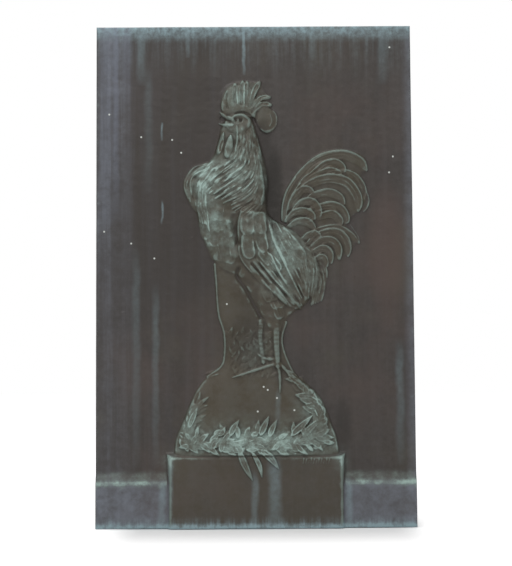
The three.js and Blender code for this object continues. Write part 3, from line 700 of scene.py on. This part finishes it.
def model_relief(face, ledge_depth, plinth_depth):
    """Build the relief up: plate, mound and bird as masses, then feathers, leaves, lines and grooves."""
    rng = np.random.default_rng(7)
    footing = np.maximum(plate_forms(face, ledge_depth, plinth_depth), face.mass(**MOUND))
    bird = np.maximum(face.mass(**BODY, soft=3.0, swell=0.72), face.mass(**FAR_SHOULDER))
    bird = bird + (0.4 * face.lumps(13, 3) + 0.16 * face.lumps(8, 4)) * step_up(bird / 3)
    face.relief = face.blurred(footing, 0.6)
    footing = face.relief.copy()
    tail(face, rng)
    comb(face, rng)
    undergrowth(face, footing, rng)
    legs(face, footing)
    laurel(face, footing, rng)
    ground = np.maximum(footing, face.blurred(bird, 0.8))
    wing = ground + face.blurred(face.mass(**WING), 0.7)
    face.relief = np.maximum(face.relief, wing)
    for places, width, lift in COVERTS:
        face.lay(curve(places, 33), blunt(width, 4), level(lift), scale, wing, soft=1.1, cover=True)
    for name, group in FEATHERS.items():
        feather_group(face, wing if name in ON_WING else ground, rng=rng, **group)
    head(face, ground)
    for spine, width, lift in RAISED:
        base = np.maximum(face.blurred(face.relief, 1.2), 0)
        face.lay(curve(spine, 60), blunt(width, 6), level(lift), rounded, base)
    for knots, low, high in ((MOUND["left"], 148, 260), (MOUND["right"], 148, 202)):
        at = np.linspace(low, high, 90)
        rim = np.stack([through(at, knots), at], 1)
        face.lay(rim, level(1.1), level(1.1), rounded, np.maximum(footing, 1.4))
    for spine, width, depth in CARVED:
        face.carve(curve(spine, 60), width, depth)
    eye(face)
    strokes(face)
    face.relief = face.relief + 0.10 * face.lumps(38, 11) + 0.05 * face.lumps(6, 12)
    face.relief = np.maximum(face.blurred(face.relief, 0.42), -0.8)
    border = np.minimum.reduce([face.X - face.x[0], face.x[-1] - face.X, face.Z, face.z[-1] - face.Z])
    face.relief -= 1.1 * (1 - np.sqrt(np.clip(1 - np.clip(1 - border / 1.4, 0, 1) ** 2, 0, 1)))


def strokes(face):
    """A short row of slight slanting strokes on the plinth."""
    base = face.blurred(face.relief, 0.8)
    for k in range(STROKES):
        x = STROKE_FOOT[0] + STROKE_STEP * k
        top = [x + STROKE_SLANT, STROKE_FOOT[1] + STROKE_HEIGHT - 1.4 * (k % 3)]
        face.lay(curve([[x, STROKE_FOOT[1]], top], 12), level(0.7), level(0.6), rounded, base, soft=0.5)


def mark_patina_and_shade(face, ledge_depth, plinth_depth):
    """Patina and painted shade marks from the relief itself: ridges stand before their surroundings, hollows
    lie behind them and take dirt with painted shade, darkened as occlusion would shade them, and bloom is
    where verdigris has settled; figure is 1 on the modelled work and 0 on the bare plate."""
    near, wide = face.blurred(face.relief, 1.6), face.blurred(face.relief, 5.0)
    plate = plate_forms(face, ledge_depth, plinth_depth)
    face.marks["ridge"] = np.clip((face.relief - near) / 0.42, 0, 1)
    shade = np.maximum.reduce([strength * face.bell(centre, reach) for centre, reach, strength in SHADE])
    figure = step_up((face.blurred(face.relief - plate, 0.8) - 0.5) / 0.9)
    # Dirt with painted shade: darker where the relief lies behind its wider and nearer surroundings, as
    # occlusion would shade it, plus the painted shade patches.
    hollow = (np.clip((wide - face.relief) / 3.0, 0, 1) * 0.32 * figure
              + np.clip((near - face.relief) / 0.7, 0, 1) * 0.75 * figure)
    face.marks["hollow"] = np.clip(hollow + shade * step_up((7 - face.relief) / 5), 0, 1)
    face.marks["figure"] = np.maximum(figure, 0.6 * step_up((plate - 5) / 2))
    bloom = np.maximum.reduce([strength * face.bell(centre, reach) for centre, reach, strength in BLOOM])
    corner = face.bell((-84, 66), (6, 8)) + face.bell((84, 66), (6, 8))
    slope = step_up((face.Z - 40) / 3) * step_up((57 - face.Z) / 5)
    sill = slope * (0.35 + 0.65 * step_up((48 - face.Z) / 3))
    sill = np.maximum(1.15 * sill * (np.abs(face.X) > PLINTH_HALF - 1), 0.85 * corner)
    face.marks["bloom"] = np.clip(np.maximum(bloom * figure, sill), 0, 1.25)


def kept_lines(places, low, high):
    """Grid lines to keep: all of them between low and high and along both ends, and every few elsewhere."""
    last = len(places) - 1
    ends = np.concatenate([np.arange(COARSE), last - np.arange(COARSE)])
    inner = np.flatnonzero((places > low) & (places < high))
    return np.unique(np.concatenate([np.arange(0, last + 1, COARSE), ends, inner]))


def closed_casting(face, thickness):
    """Grid of the front, fine over the figure and coarse on the bare plate, joined round its border to the
    flat back: vertices in metres and triangles that face outwards."""
    columns, rows = kept_lines(face.x, *FINE_X), kept_lines(face.z, *FINE_Z)
    x, z = np.meshgrid(face.x[columns], face.z[rows])
    high = face.relief[np.ix_(rows, columns)]
    middle = face.z[-1] / 2
    front = np.stack([x, -thickness - high, z - middle], -1).reshape(-1, 3)
    at = np.arange(len(rows) * len(columns)).reshape(len(rows), len(columns))
    a, b, c, d = at[:-1, :-1].ravel(), at[:-1, 1:].ravel(), at[1:, 1:].ravel(), at[1:, :-1].ravel()
    faces = [np.stack([a, b, c], 1), np.stack([a, c, d], 1)]
    ring = np.concatenate([at[0, :-1], at[:-1, -1], at[-1, :0:-1], at[:0:-1, 0]])
    behind = len(front) + np.arange(len(ring))
    back = front[ring] * [1, 0, 1]
    after, behind_after = np.roll(ring, -1), np.roll(behind, -1)
    centre = np.full(len(ring), len(front) + len(ring))
    faces += [np.stack([after, ring, behind], 1), np.stack([after, behind, behind_after], 1),
              np.stack([behind_after, behind, centre], 1)]
    points = np.concatenate([front, back, [[0, 0, 0]]]) * MM
    return points, np.concatenate(faces)


def new_mesh(name, points, faces):
    """Mesh from whole arrays of points and triangles."""
    mesh = bpy.data.meshes.new(name)
    mesh.vertices.add(len(points))
    mesh.vertices.foreach_set("co", points.astype(np.float32).ravel())
    mesh.loops.add(faces.size)
    mesh.loops.foreach_set("vertex_index", faces.astype(np.int32).ravel())
    mesh.polygons.add(len(faces))
    mesh.polygons.foreach_set("loop_start", np.arange(0, faces.size, 3, dtype=np.int32))
    mesh.update(calc_edges=True)
    mesh.validate()
    return mesh


def thinned(mesh, triangles):
    """The mesh with edges closed where the surface is flattest, down to that many triangles."""
    scratch = bpy.data.objects.new("thinning", mesh)
    bpy.context.collection.objects.link(scratch)
    modifier = scratch.modifiers.new("Thin", "DECIMATE")
    modifier.ratio = min(1.0, triangles / len(mesh.polygons))
    graph = bpy.context.evaluated_depsgraph_get()
    result = bpy.data.meshes.new_from_object(scratch.evaluated_get(graph))
    bpy.data.objects.remove(scratch)
    bpy.data.meshes.remove(mesh)
    return result


def keep_marks(mesh, face, thickness):
    """Read each mark of patina and painted shade at the vertices of the front, between the four nearest
    places of the grid.
    """
    co = np.empty(len(mesh.vertices) * 3, np.float32)
    mesh.vertices.foreach_get("co", co)
    co = co.reshape(-1, 3) / MM
    fx = np.clip((co[:, 0] - face.x[0]) / face.cell, 0, len(face.x) - 1.001)
    fz = np.clip((co[:, 2] + face.z[-1] / 2) / face.cell, 0, len(face.z) - 1.001)
    i, j = fz.astype(int), fx.astype(int)
    p, q = fz - i, fx - j
    front = co[:, 1] < -0.6 * thickness
    for name, mark in face.marks.items():
        value = (mark[i, j] * (1 - p) * (1 - q) + mark[i, j + 1] * (1 - p) * q
                 + mark[i + 1, j] * p * (1 - q) + mark[i + 1, j + 1] * p * q)
        layer = mesh.attributes.new(name, "FLOAT", "POINT")
        layer.data.foreach_set("value", (value * front).astype(np.float32))


class Wiring:
    """Adds nodes to a node tree and links them, so that a finish reads as a list of steps."""

    def __init__(self, tree):
        self.tree = tree

    def add(self, kind, inputs=None, **settings):
        node = self.tree.nodes.new(kind)
        for key, value in settings.items():
            setattr(node, key, value)
        for key, value in (inputs or {}).items():
            self.feed(node.inputs[key], value)
        return node

    def feed(self, socket, value):
        if isinstance(value, bpy.types.NodeSocket):
            self.tree.links.new(value, socket)
        else:
            socket.default_value = value

    def math(self, operation, *values, clamp=False):
        node = self.add("ShaderNodeMath", dict(enumerate(values)), operation=operation, use_clamp=clamp)
        return node.outputs[0]

    def times(self, *values, clamp=False):
        return self.math("MULTIPLY", *values, clamp=clamp)

    def plus(self, *values, clamp=False):
        return self.math("ADD", *values, clamp=clamp)

    def less(self, *values, clamp=False):
        return self.math("SUBTRACT", *values, clamp=clamp)

    def per(self, *values, clamp=False):
        return self.math("DIVIDE", *values, clamp=clamp)

    def squares(self, one, other):
        return self.plus(self.times(one, one), self.times(other, other))

    def span(self, value, low, high, start=0.0, end=1.0):
        node = self.add("ShaderNodeMapRange",
                        {"Value": value, "From Min": low, "From Max": high, "To Min": start,
                                               "To Max": end}, interpolation_type="SMOOTHSTEP")
        return node.outputs[0]

    def mix(self, share, under, over):
        node = self.add("ShaderNodeMix", {0: share, 6: under, 7: over}, data_type="RGBA")
        return node.outputs[2]

    def noise(self, vector, scale, detail=4.0, roughness=0.6):
        node = self.add("ShaderNodeTexNoise",
                        {"Vector": vector, "Scale": scale, "Detail": detail, "Roughness": roughness})
        return node.outputs["Fac"]

    def mark(self, name):
        return self.add("ShaderNodeAttribute", attribute_name=name).outputs["Fac"]


def new_group(name, *labels):
    """Empty shader node group that takes a place and the labelled values and gives a mask: returns its
    wiring, its inputs and its outputs."""
    tree = bpy.data.node_groups.new(name, "ShaderNodeTree")
    tree.interface.new_socket("Place", in_out="INPUT", socket_type="NodeSocketVector")
    for label in labels:
        tree.interface.new_socket(label, in_out="INPUT", socket_type="NodeSocketFloat")
    tree.interface.new_socket("Mask", in_out="OUTPUT", socket_type="NodeSocketFloat")
    wire = Wiring(tree)
    return wire, tree.nodes.new("NodeGroupInput").outputs, tree.nodes.new("NodeGroupOutput").inputs


def streak_group():
    """Rain streaks: noise drawn out down the face, fine across and long down, as a mask."""
    wire, given, out = new_group("Rain streaks", "Across", "Length")
    parts = wire.add("ShaderNodeSeparateXYZ", {0: given["Place"]}).outputs
    drawn = wire.add("ShaderNodeCombineXYZ", {"X": wire.per(parts["X"], given["Across"]),
                                              "Z": wire.per(parts["Z"], given["Length"])}).outputs[0]
    wire.feed(out["Mask"], wire.span(wire.noise(drawn, 1.0, 5.0, 0.62), 0.38, 0.68))
    return wire.tree


def run_group():
    """Run of verdigris: full at its top, wandering a little sideways, narrowing and fading to its foot."""
    wire, given, out = new_group("Run of verdigris", "Across", "Top", "Foot", "Half width")
    parts = wire.add("ShaderNodeSeparateXYZ", {0: given["Place"]}).outputs
    wander = wire.times(wire.less(wire.noise(given["Place"], 45.0, 3.0), 0.5), 0.006)
    off = wire.math("ABSOLUTE", wire.plus(wire.less(parts["X"], given["Across"]), wander))
    side = wire.span(wire.per(off, given["Half width"]), 1.0, 0.15)
    drop_height = wire.less(given["Top"], given["Foot"])
    down = wire.per(wire.less(parts["Z"], given["Foot"]), drop_height, clamp=True)
    soft = wire.times(drop_height, 0.25)
    start = wire.span(parts["Z"], given["Top"], wire.less(given["Top"], soft))
    worn = wire.span(wire.noise(given["Place"], 160.0, 5.0, 0.7), 0.2, 0.75, 0.45, 1.0)
    faded = wire.times(side, wire.math("POWER", down, 0.5))
    wire.feed(out["Mask"], wire.times(faded, wire.times(start, worn)))
    return wire.tree


def speck_group():
    """Speck of lime: 1 within a millimetre of its place on the front and 0 outside."""
    wire, given, out = new_group("Speck of lime", "Across", "Height")
    parts = wire.add("ShaderNodeSeparateXYZ", {0: given["Place"]}).outputs
    aside = wire.less(parts["X"], given["Across"])
    above = wire.less(parts["Z"], given["Height"])
    far = wire.math("SQRT", wire.squares(aside, above))
    wire.feed(out["Mask"], wire.span(far, 0.0012, 0.0005))
    return wire.tree


def patch_group():
    """Soft patch: 1 at its middle and eased to 0 at the rim of an ellipse."""
    wire, given, out = new_group("Soft patch", "Across", "Height", "Wide", "Tall")
    parts = wire.add("ShaderNodeSeparateXYZ", {0: given["Place"]}).outputs
    aside = wire.per(wire.less(parts["X"], given["Across"]), given["Wide"])
    above = wire.per(wire.less(parts["Z"], given["Height"]), given["Tall"])
    far = wire.squares(aside, above)
    wire.feed(out["Mask"], wire.span(far, 1.0, 0.0))
    return wire.tree


def bloom_group():
    """Broken bloom: an amount from 0 to 1 eaten into by two sizes of noise, so that its rim is ragged."""
    wire, given, out = new_group("Broken bloom", "Amount", "Grain")
    rough = wire.noise(given["Place"], given["Grain"], 6.0, 0.7)
    eaten = wire.plus(given["Amount"], wire.times(wire.less(rough, 0.5), 1.3))
    shown = wire.times(wire.span(eaten, 0.2, 0.95), wire.span(given["Amount"], 0.0, 0.12))
    wire.feed(out["Mask"], shown)
    return wire.tree


def use(wire, group, **inputs):
    """Place a node group with its own values and give its mask."""
    node = wire.add("ShaderNodeGroup", node_tree=group)
    for label, value in inputs.items():
        wire.feed(node.inputs[label.replace("_", " ")], value)
    return node.outputs["Mask"]


def bronze_finish(colours, height):
    """Old bronze: brown patina in blotches and rain streaks, painted shade towards the upper left, violet
    along the sides and foot, rust to the right, dirt with painted shade in the hollows and painted shade in
    soft patches beside the figure, verdigris on ridges, sills and top edge, runs below them, and specks of
    lime."""
    material = bpy.data.materials.new("weathered_bronze")
    material.use_nodes = True
    wire = Wiring(material.node_tree)
    shader = material.node_tree.nodes["Principled BSDF"]
    place = wire.add("ShaderNodeTexCoord").outputs["Object"]
    parts = wire.add("ShaderNodeSeparateXYZ", {0: place}).outputs
    streaks, runs, blooms, specks = streak_group(), run_group(), bloom_group(), speck_group()
    patches = patch_group()
    side = wire.math("ABSOLUTE", parts["X"])
    ahead = wire.span(parts["Y"], -0.005, -0.01)

    def shade(name):
        return (*getattr(colours, name), 1.0)

    blotch = wire.span(wire.noise(place, 14.0, 6.0, 0.65), 0.34, 0.68)
    mottle = wire.span(wire.noise(place, 170.0, 5.0, 0.7), 0.3, 0.72)
    fine = use(wire, streaks, Place=place, Across=0.007, Length=0.12)
    broad = use(wire, streaks, Place=place, Across=0.03, Length=0.5)
    colour = wire.mix(blotch, shade("brown"), shade("taupe"))
    colour = wire.mix(wire.times(mottle, 0.3), colour, shade("pale_taupe"))
    colour = wire.mix(wire.times(fine, 0.2), colour, shade("pale_taupe"))
    colour = wire.mix(wire.times(broad, 0.4), colour, shade("brown"))
    warm = wire.span(wire.noise(place, 7.5, 4.0, 0.6), 0.46, 0.66)
    colour = wire.mix(wire.times(warm, 0.35), colour, shade("rust"))
    cool = wire.span(wire.noise(place, 10.0, 4.0, 0.6), 0.5, 0.7)
    colour = wire.mix(wire.times(cool, 0.3), colour, shade("olive"))
    shadow = wire.times(wire.span(parts["X"], 0.02, -0.06), wire.span(parts["Z"], -0.12, 0.02))
    colour = wire.mix(wire.times(shadow, 0.75), colour, shade("brown"))
    rust = use(wire, patches, Place=place, Across=0.132, Height=0.02, Wide=0.024, Tall=0.085)
    colour = wire.mix(wire.times(rust, 0.6), colour, shade("rust"))
    drips = use(wire, streaks, Place=place, Across=0.011, Length=0.3)
    left = wire.times(wire.span(parts["X"], -0.112, -0.144), wire.span(parts["Z"], -0.05, 0.2, 0.4, 0.9))
    left = wire.times(left, wire.span(drips, 0.0, 1.0, 0.45, 1.0))
    veil = wire.times(wire.span(parts["X"], 0.06, -0.12, 0.4, 1.0), wire.times(drips, 0.04))
    colour = wire.mix(wire.times(veil, ahead), colour, shade("slate"))
    right = wire.times(wire.span(parts["X"], 0.146, 0.157), 0.55)
    low = wire.times(wire.span(parts["Z"], -0.2, -0.21), wire.math("GREATER_THAN", side, 0.0855))
    edge = wire.plus(wire.plus(left, right), wire.times(low, 0.8), clamp=True)
    cloud = wire.span(wire.noise(place, 60.0, 5.0, 0.65), 0.32, 0.68)
    patchy = wire.plus(0.35, wire.plus(wire.times(mottle, 0.25), wire.times(cloud, 0.4)))
    colour = wire.mix(wire.times(wire.times(edge, patchy), ahead), colour, shade("violet"))
    colour = wire.mix(wire.times(wire.mark("figure"), 0.55), colour, shade("olive"))
    cloudy = wire.times(wire.span(wire.noise(place, 55.0, 5.0, 0.68), 0.42, 0.68), wire.mark("figure"))
    colour = wire.mix(wire.times(cloudy, 0.65), colour, shade("umber"))
    flecks = wire.times(wire.span(wire.noise(place, 130.0, 5.0, 0.7), 0.5, 0.75), wire.mark("figure"))
    colour = wire.mix(wire.times(flecks, 0.4), colour, shade("pale_taupe"))
    # Painted shade: soft dark patches beside the figure and between the legs, darkened on the front only.
    for (x, z), (wide, tall), strength in PAINTED_SHADE_PATCHES:
        painted_shade_patch = use(wire, patches, Place=place, Across=x * MM, Height=z * MM - height / 2, Wide=wide * MM,
                   Tall=tall * MM)
        colour = wire.mix(wire.times(wire.times(painted_shade_patch, strength), ahead), colour, shade("dirt_and_shade"))
    # Dirt and painted shade: the hollows darkened towards the colour of dirt and shade.
    hollow = wire.mark("hollow")
    colour = wire.mix(wire.times(hollow, 0.7, clamp=True), colour, shade("dirt_and_shade"))
    ridge = use(wire, blooms, Place=place, Amount=wire.times(wire.mark("ridge"), 0.8), Grain=120.0)
    colour = wire.mix(wire.times(ridge, 0.5), colour, shade("verdigris"))
    lush = wire.mark("bloom")
    amount = wire.plus(wire.times(lush, 0.85), wire.times(wire.times(lush, wire.mark("ridge")), 0.3))
    amount = wire.less(amount, wire.times(hollow, 0.35), clamp=True)
    torn = wire.times(wire.span(wire.noise(place, 230.0, 6.0, 0.72), 0.28, 0.7, 0.35, 1.0),
                     wire.span(wire.noise(place, 75.0, 4.0, 0.6), 0.36, 0.62, 0.3, 1.25))
    bloom = wire.times(amount, torn)
    colour = wire.mix(wire.times(bloom, 0.9, clamp=True), colour, shade("verdigris"))
    wash = wire.times(wire.span(lush, 0.7, 1.25), wire.times(torn, 0.42), clamp=True)
    colour = wire.mix(wash, colour, shade("pale_verdigris"))
    bright = use(wire, blooms, Place=place, Amount=wire.times(amount, wire.mark("ridge")), Grain=260.0)
    colour = wire.mix(wire.times(bright, 0.6), colour, shade("pale_verdigris"))
    crest = wire.plus(wire.span(parts["Z"], height / 2 - 0.018, height / 2 - 0.001, 0.0, 0.85),
                      wire.times(wire.span(parts["Z"], height / 2 - 0.06, height / 2),
                                 wire.times(fine, 0.22)))
    worn = wire.plus(0.35, wire.times(mottle, 0.75))
    colour = wire.mix(wire.times(crest, worn, clamp=True), colour, shade("sea_green"))
    drawn = wire.plus(wire.span(parts["Z"], 0.007 - height / 2, 0.0005 - height / 2, 0.0, 1.2),
                      wire.times(wire.span(parts["Z"], 0.014 - height / 2, -height / 2), fine))
    colour = wire.mix(wire.times(drawn, worn, clamp=True), colour, shade("sea_green"))
    for x, start, end, width, strength in RUNS:
        top, foot = start * MM - height / 2, end * MM - height / 2
        run = use(wire, runs, Place=place, Across=x * MM, Top=top, Foot=foot, Half_width=width * MM)
        shown = wire.times(wire.times(run, strength), ahead)
        colour = wire.mix(shown, colour, shade("slate" if x < -120 else "sea_green"))
    for x, z in SPECKS:
        speck = use(wire, specks, Place=place, Across=x * MM, Height=z * MM - height / 2)
        colour = wire.mix(wire.times(speck, ahead), colour, shade("lime"))
    wire.feed(shader.inputs["Base Color"], colour)
    dull = wire.plus(wire.times(blotch, 0.12), wire.times(bloom, 0.2))
    wire.feed(shader.inputs["Roughness"], wire.plus(dull, 0.5))
    wire.feed(shader.inputs["Metallic"], wire.less(0.3, wire.times(bloom, 0.25), clamp=True))
    grain = wire.plus(wire.times(wire.noise(place, 420.0, 5.0, 0.65), 0.7),
                      wire.times(wire.noise(place, 1500.0, 3.0, 0.6), 0.35))
    bump = wire.add("ShaderNodeBump", {"Strength": 0.35, "Distance": 0.0006, "Height": grain})
    wire.feed(shader.inputs["Normal"], bump.outputs[0])
    return material


def distance(name, text, metres):
    """Property that holds a distance."""
    return bpy.props.FloatProperty(name=name, description=text, default=metres, unit="LENGTH")


def tint(name, text, red, green, blue):
    """Property that holds the colour of a paint swatch."""
    swatch = paint(red, green, blue)
    return bpy.props.FloatVectorProperty(name=name, description=text, subtype="COLOR", default=swatch)


class PlaqueSizes(bpy.types.PropertyGroup):
    """Sizes of the casting."""

    width: distance("Width", "Width of the plate", HIGH.x - LOW.x)
    height: distance("Height", "Height of the plate", HIGH.z - LOW.z)
    thickness: distance("Thickness", "Thickness of the bare plate", 0.012)
    ledge: distance("Ledge", "How far the ledge stands out", 0.0035)
    plinth: distance("Plinth", "How far the plinth stands out", 0.0075)
    cell: distance("Grid", "Spacing of the modelling grid", 0.0005)
    triangles: bpy.props.IntProperty(name="Triangles", description="Most triangles in the casting",
                                     default=190000)


class PlaqueColours(bpy.types.PropertyGroup):
    """Colours of the patina, with the dirt and painted shade of the hollows."""

    brown: tint("Brown", "Dark patina", 56, 51, 47)
    taupe: tint("Taupe", "Middle patina", 65, 60, 56)
    pale_taupe: tint("Pale taupe", "Washed streaks", 84, 80, 78)
    olive: tint("Olive", "Patina on the figure", 84, 80, 66)
    umber: tint("Umber", "Clouds on the figure", 66, 58, 42)
    # Dirt together with painted shade: the colour that the hollows and the soft shade patches are darkened
    # towards.
    dirt_and_shade: tint("Dirt", "Dirt in the hollows", 40, 37, 33)
    rust: tint("Rust", "Warm patches", 84, 70, 64)
    violet: tint("Violet", "Sides and foot", 112, 117, 126)
    verdigris: tint("Verdigris", "Bloom", 130, 149, 142)
    pale_verdigris: tint("Pale verdigris", "Bloom on ridges", 166, 190, 183)
    sea_green: tint("Sea green", "Runs and top edge", 134, 156, 162)
    slate: tint("Slate", "Runs at the left, haze at the top", 116, 123, 138)
    lime: tint("Lime", "Specks", 200, 205, 200)


class PlaqueStage(bpy.types.PropertyGroup):
    """Studio floor, lights and camera."""

    floor: bpy.props.FloatVectorProperty(name="Floor", description="Colour of the floor", subtype="COLOR",
                                         default=(0.93, 0.93, 0.93))
    # Lift of the floor to white, held back before the plaque's foot so that a painted soft shadow is left
    # there.
    lift: bpy.props.FloatProperty(name="Lift", description="Glow that lifts the floor to white", default=0.5)
    key: bpy.props.FloatProperty(name="Key", description="Power of the key light", default=16.0,
                                 unit="POWER")
    top: bpy.props.FloatProperty(name="Top", description="Power of the overhead light", default=5.0,
                                 unit="POWER")
    ambient: bpy.props.FloatProperty(name="Ambient", description="Strength of the surroundings",
                                     default=0.55)
    lens: bpy.props.FloatProperty(name="Lens", description="Focal length", default=75.0, unit="CAMERA")
    spot: bpy.props.FloatVectorProperty(name="Camera", description="Place of the camera",
                                        subtype="TRANSLATION",
                                        default=(-0.0038, -1.1828, -0.0812))
    turn: bpy.props.FloatVectorProperty(name="Aim", description="Turn of the camera", subtype="EULER",
                                        default=(math.radians(93.522), math.radians(0.364),
                                                 math.radians(-0.217)))


class PLAQUE_OT_casting(bpy.types.Operator):
    """Model the relief, close it to the back and give it its weathered bronze"""

    bl_idname = "plaque.casting"
    bl_label = "Bronze casting"

    def execute(self, context):
        sizes, colours = context.scene.plaque_sizes, context.scene.plaque_colours
        face = Face(sizes.width / MM, sizes.height / MM, sizes.cell / MM)
        steps = sizes.ledge / MM, sizes.plinth / MM
        model_relief(face, *steps)
        mark_patina_and_shade(face, *steps)
        points, faces = closed_casting(face, sizes.thickness / MM)
        mesh = thinned(new_mesh("plaque_casting", points, faces), sizes.triangles)
        mesh.name = "plaque_casting"
        keep_marks(mesh, face, sizes.thickness / MM)
        mesh.shade_smooth()
        mesh.set_sharp_from_angle(angle=math.radians(70))
        mesh.materials.clear()
        mesh.materials.append(bronze_finish(colours, sizes.height))
        casting = bpy.data.objects.new("plaque_casting", mesh)
        context.collection.objects.link(casting)
        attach(casting, "root")
        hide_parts(NODE)
        return {"FINISHED"}


class PLAQUE_OT_stage(bpy.types.Operator):
    """Lay the pale floor with a painted soft shadow before the plaque, and set the soft lights and the
    camera
    """

    bl_idname = "plaque.stage"
    bl_label = "Studio stage"

    def execute(self, context):
        stage = context.scene.plaque_stage
        level = LOW.z - 0.0005
        corners = np.array([[-4, -4, level], [4, -4, level], [4, 4, level], [-4, 4, level]])
        mesh = bpy.data.meshes.new("floor")
        mesh.from_pydata(corners.tolist(), [], [[0, 1, 2, 3]])
        mesh.materials.append(self.floor_paint(stage))
        floor = bpy.data.objects.new("floor", mesh)
        context.collection.objects.link(floor)
        self.surroundings(context.scene, stage)
        self.lamp(context, "key_light", KEY_SPOT, KEY_SIZE, stage.key)
        self.lamp(context, "top_light", TOP_SPOT, TOP_SIZE, stage.top)
        self.camera(context, stage)
        context.scene.view_settings.view_transform = "Standard"
        return {"FINISHED"}

    def floor_paint(self, stage):
        material = bpy.data.materials.new("pale_floor")
        material.use_nodes = True
        wire = Wiring(material.node_tree)
        shader = material.node_tree.nodes["Principled BSDF"]
        place = wire.add("ShaderNodeTexCoord").outputs["Object"]
        tone = wire.span(wire.noise(place, 3.0, 3.0), 0.3, 0.7)
        pale = tuple(stage.floor)
        wire.feed(shader.inputs["Base Color"],
                  wire.mix(tone, (*pale, 1), (*[0.985 * part for part in pale], 1)))
        shader.inputs["Roughness"].default_value = 0.8
        parts = wire.add("ShaderNodeSeparateXYZ", {0: place}).outputs
        # Painted shadow: the lift to white fades out within about 16 cm of the plaque's foot, over a band
        # about 24 cm wide a little right of the middle, so the floor there stays darker like a soft cast
        # shadow.
        off = wire.math("ABSOLUTE", wire.less(parts["X"], 0.012))
        aside = wire.times(wire.math("MAXIMUM", wire.less(off, 0.12), 0.0), 3.0)
        before = wire.plus(parts["Y"], 0.02)
        far = wire.math("SQRT", wire.squares(aside, before))
        seen = wire.add("ShaderNodeLightPath").outputs["Is Camera Ray"]
        floor_glow_with_painted_shadow = wire.times(seen, wire.span(far, 0.0, 0.16, 0.0, stage.lift))
        wire.feed(shader.inputs["Emission Color"],
                  wire.add("ShaderNodeCombineColor", {0: floor_glow_with_painted_shadow, 1: floor_glow_with_painted_shadow, 2: floor_glow_with_painted_shadow}).outputs[0])
        shader.inputs["Emission Strength"].default_value = 1.0
        return material

    def surroundings(self, scene, stage):
        scene.world = bpy.data.worlds.new("white_room")
        scene.world.use_nodes = True
        wire = Wiring(scene.world.node_tree)
        light = scene.world.node_tree.nodes["Background"]
        seen = wire.add("ShaderNodeLightPath").outputs["Is Camera Ray"]
        light.inputs["Color"].default_value = (1, 1, 1, 1)
        wire.feed(light.inputs["Strength"], wire.math("MAXIMUM", seen, stage.ambient))

    def lamp(self, context, name, spot, size, power):
        light = bpy.data.lights.new(name, "AREA")
        light.shape = "SQUARE"
        light.size = size
        light.energy = power
        lamp = bpy.data.objects.new(name, light)
        lamp.location = spot
        aim = -lamp.location
        lamp.rotation_euler = aim.to_track_quat("-Z", "Y").to_euler()
        context.collection.objects.link(lamp)

    def camera(self, context, stage):
        data = bpy.data.cameras.new("camera")
        data.lens = stage.lens
        data.sensor_width = 36
        camera = bpy.data.objects.new("camera", data)
        camera.location = stage.spot
        camera.rotation_euler = stage.turn
        context.collection.objects.link(camera)
        context.scene.camera = camera


class PLAQUE_PT_panel(bpy.types.Panel):
    """Sidebar panel with the casting and its stage"""

    bl_idname = "PLAQUE_PT_panel"
    bl_label = "Relief plaque"
    bl_space_type = "VIEW_3D"
    bl_region_type = "UI"
    bl_category = "Plaque"

    def draw(self, context):
        for operator in (PLAQUE_OT_casting, PLAQUE_OT_stage):
            self.layout.operator(operator.bl_idname)
        for group in (context.scene.plaque_sizes, context.scene.plaque_colours, context.scene.plaque_stage):
            box = self.layout.box()
            for name in group.__annotations__:
                box.prop(group, name)


GROUPS = {"plaque_sizes": PlaqueSizes, "plaque_colours": PlaqueColours, "plaque_stage": PlaqueStage}
CLASSES = (*GROUPS.values(), PLAQUE_OT_casting, PLAQUE_OT_stage, PLAQUE_PT_panel)


def register():
    for one in CLASSES:
        bpy.utils.register_class(one)
    for name, group in GROUPS.items():
        setattr(bpy.types.Scene, name, bpy.props.PointerProperty(type=group))


def unregister():
    for name in GROUPS:
        delattr(bpy.types.Scene, name)
    for one in reversed(CLASSES):
        bpy.utils.unregister_class(one)


def main():
    register()
    bpy.ops.plaque.casting()
    bpy.ops.plaque.stage()


if __name__ == "__main__":
    main()
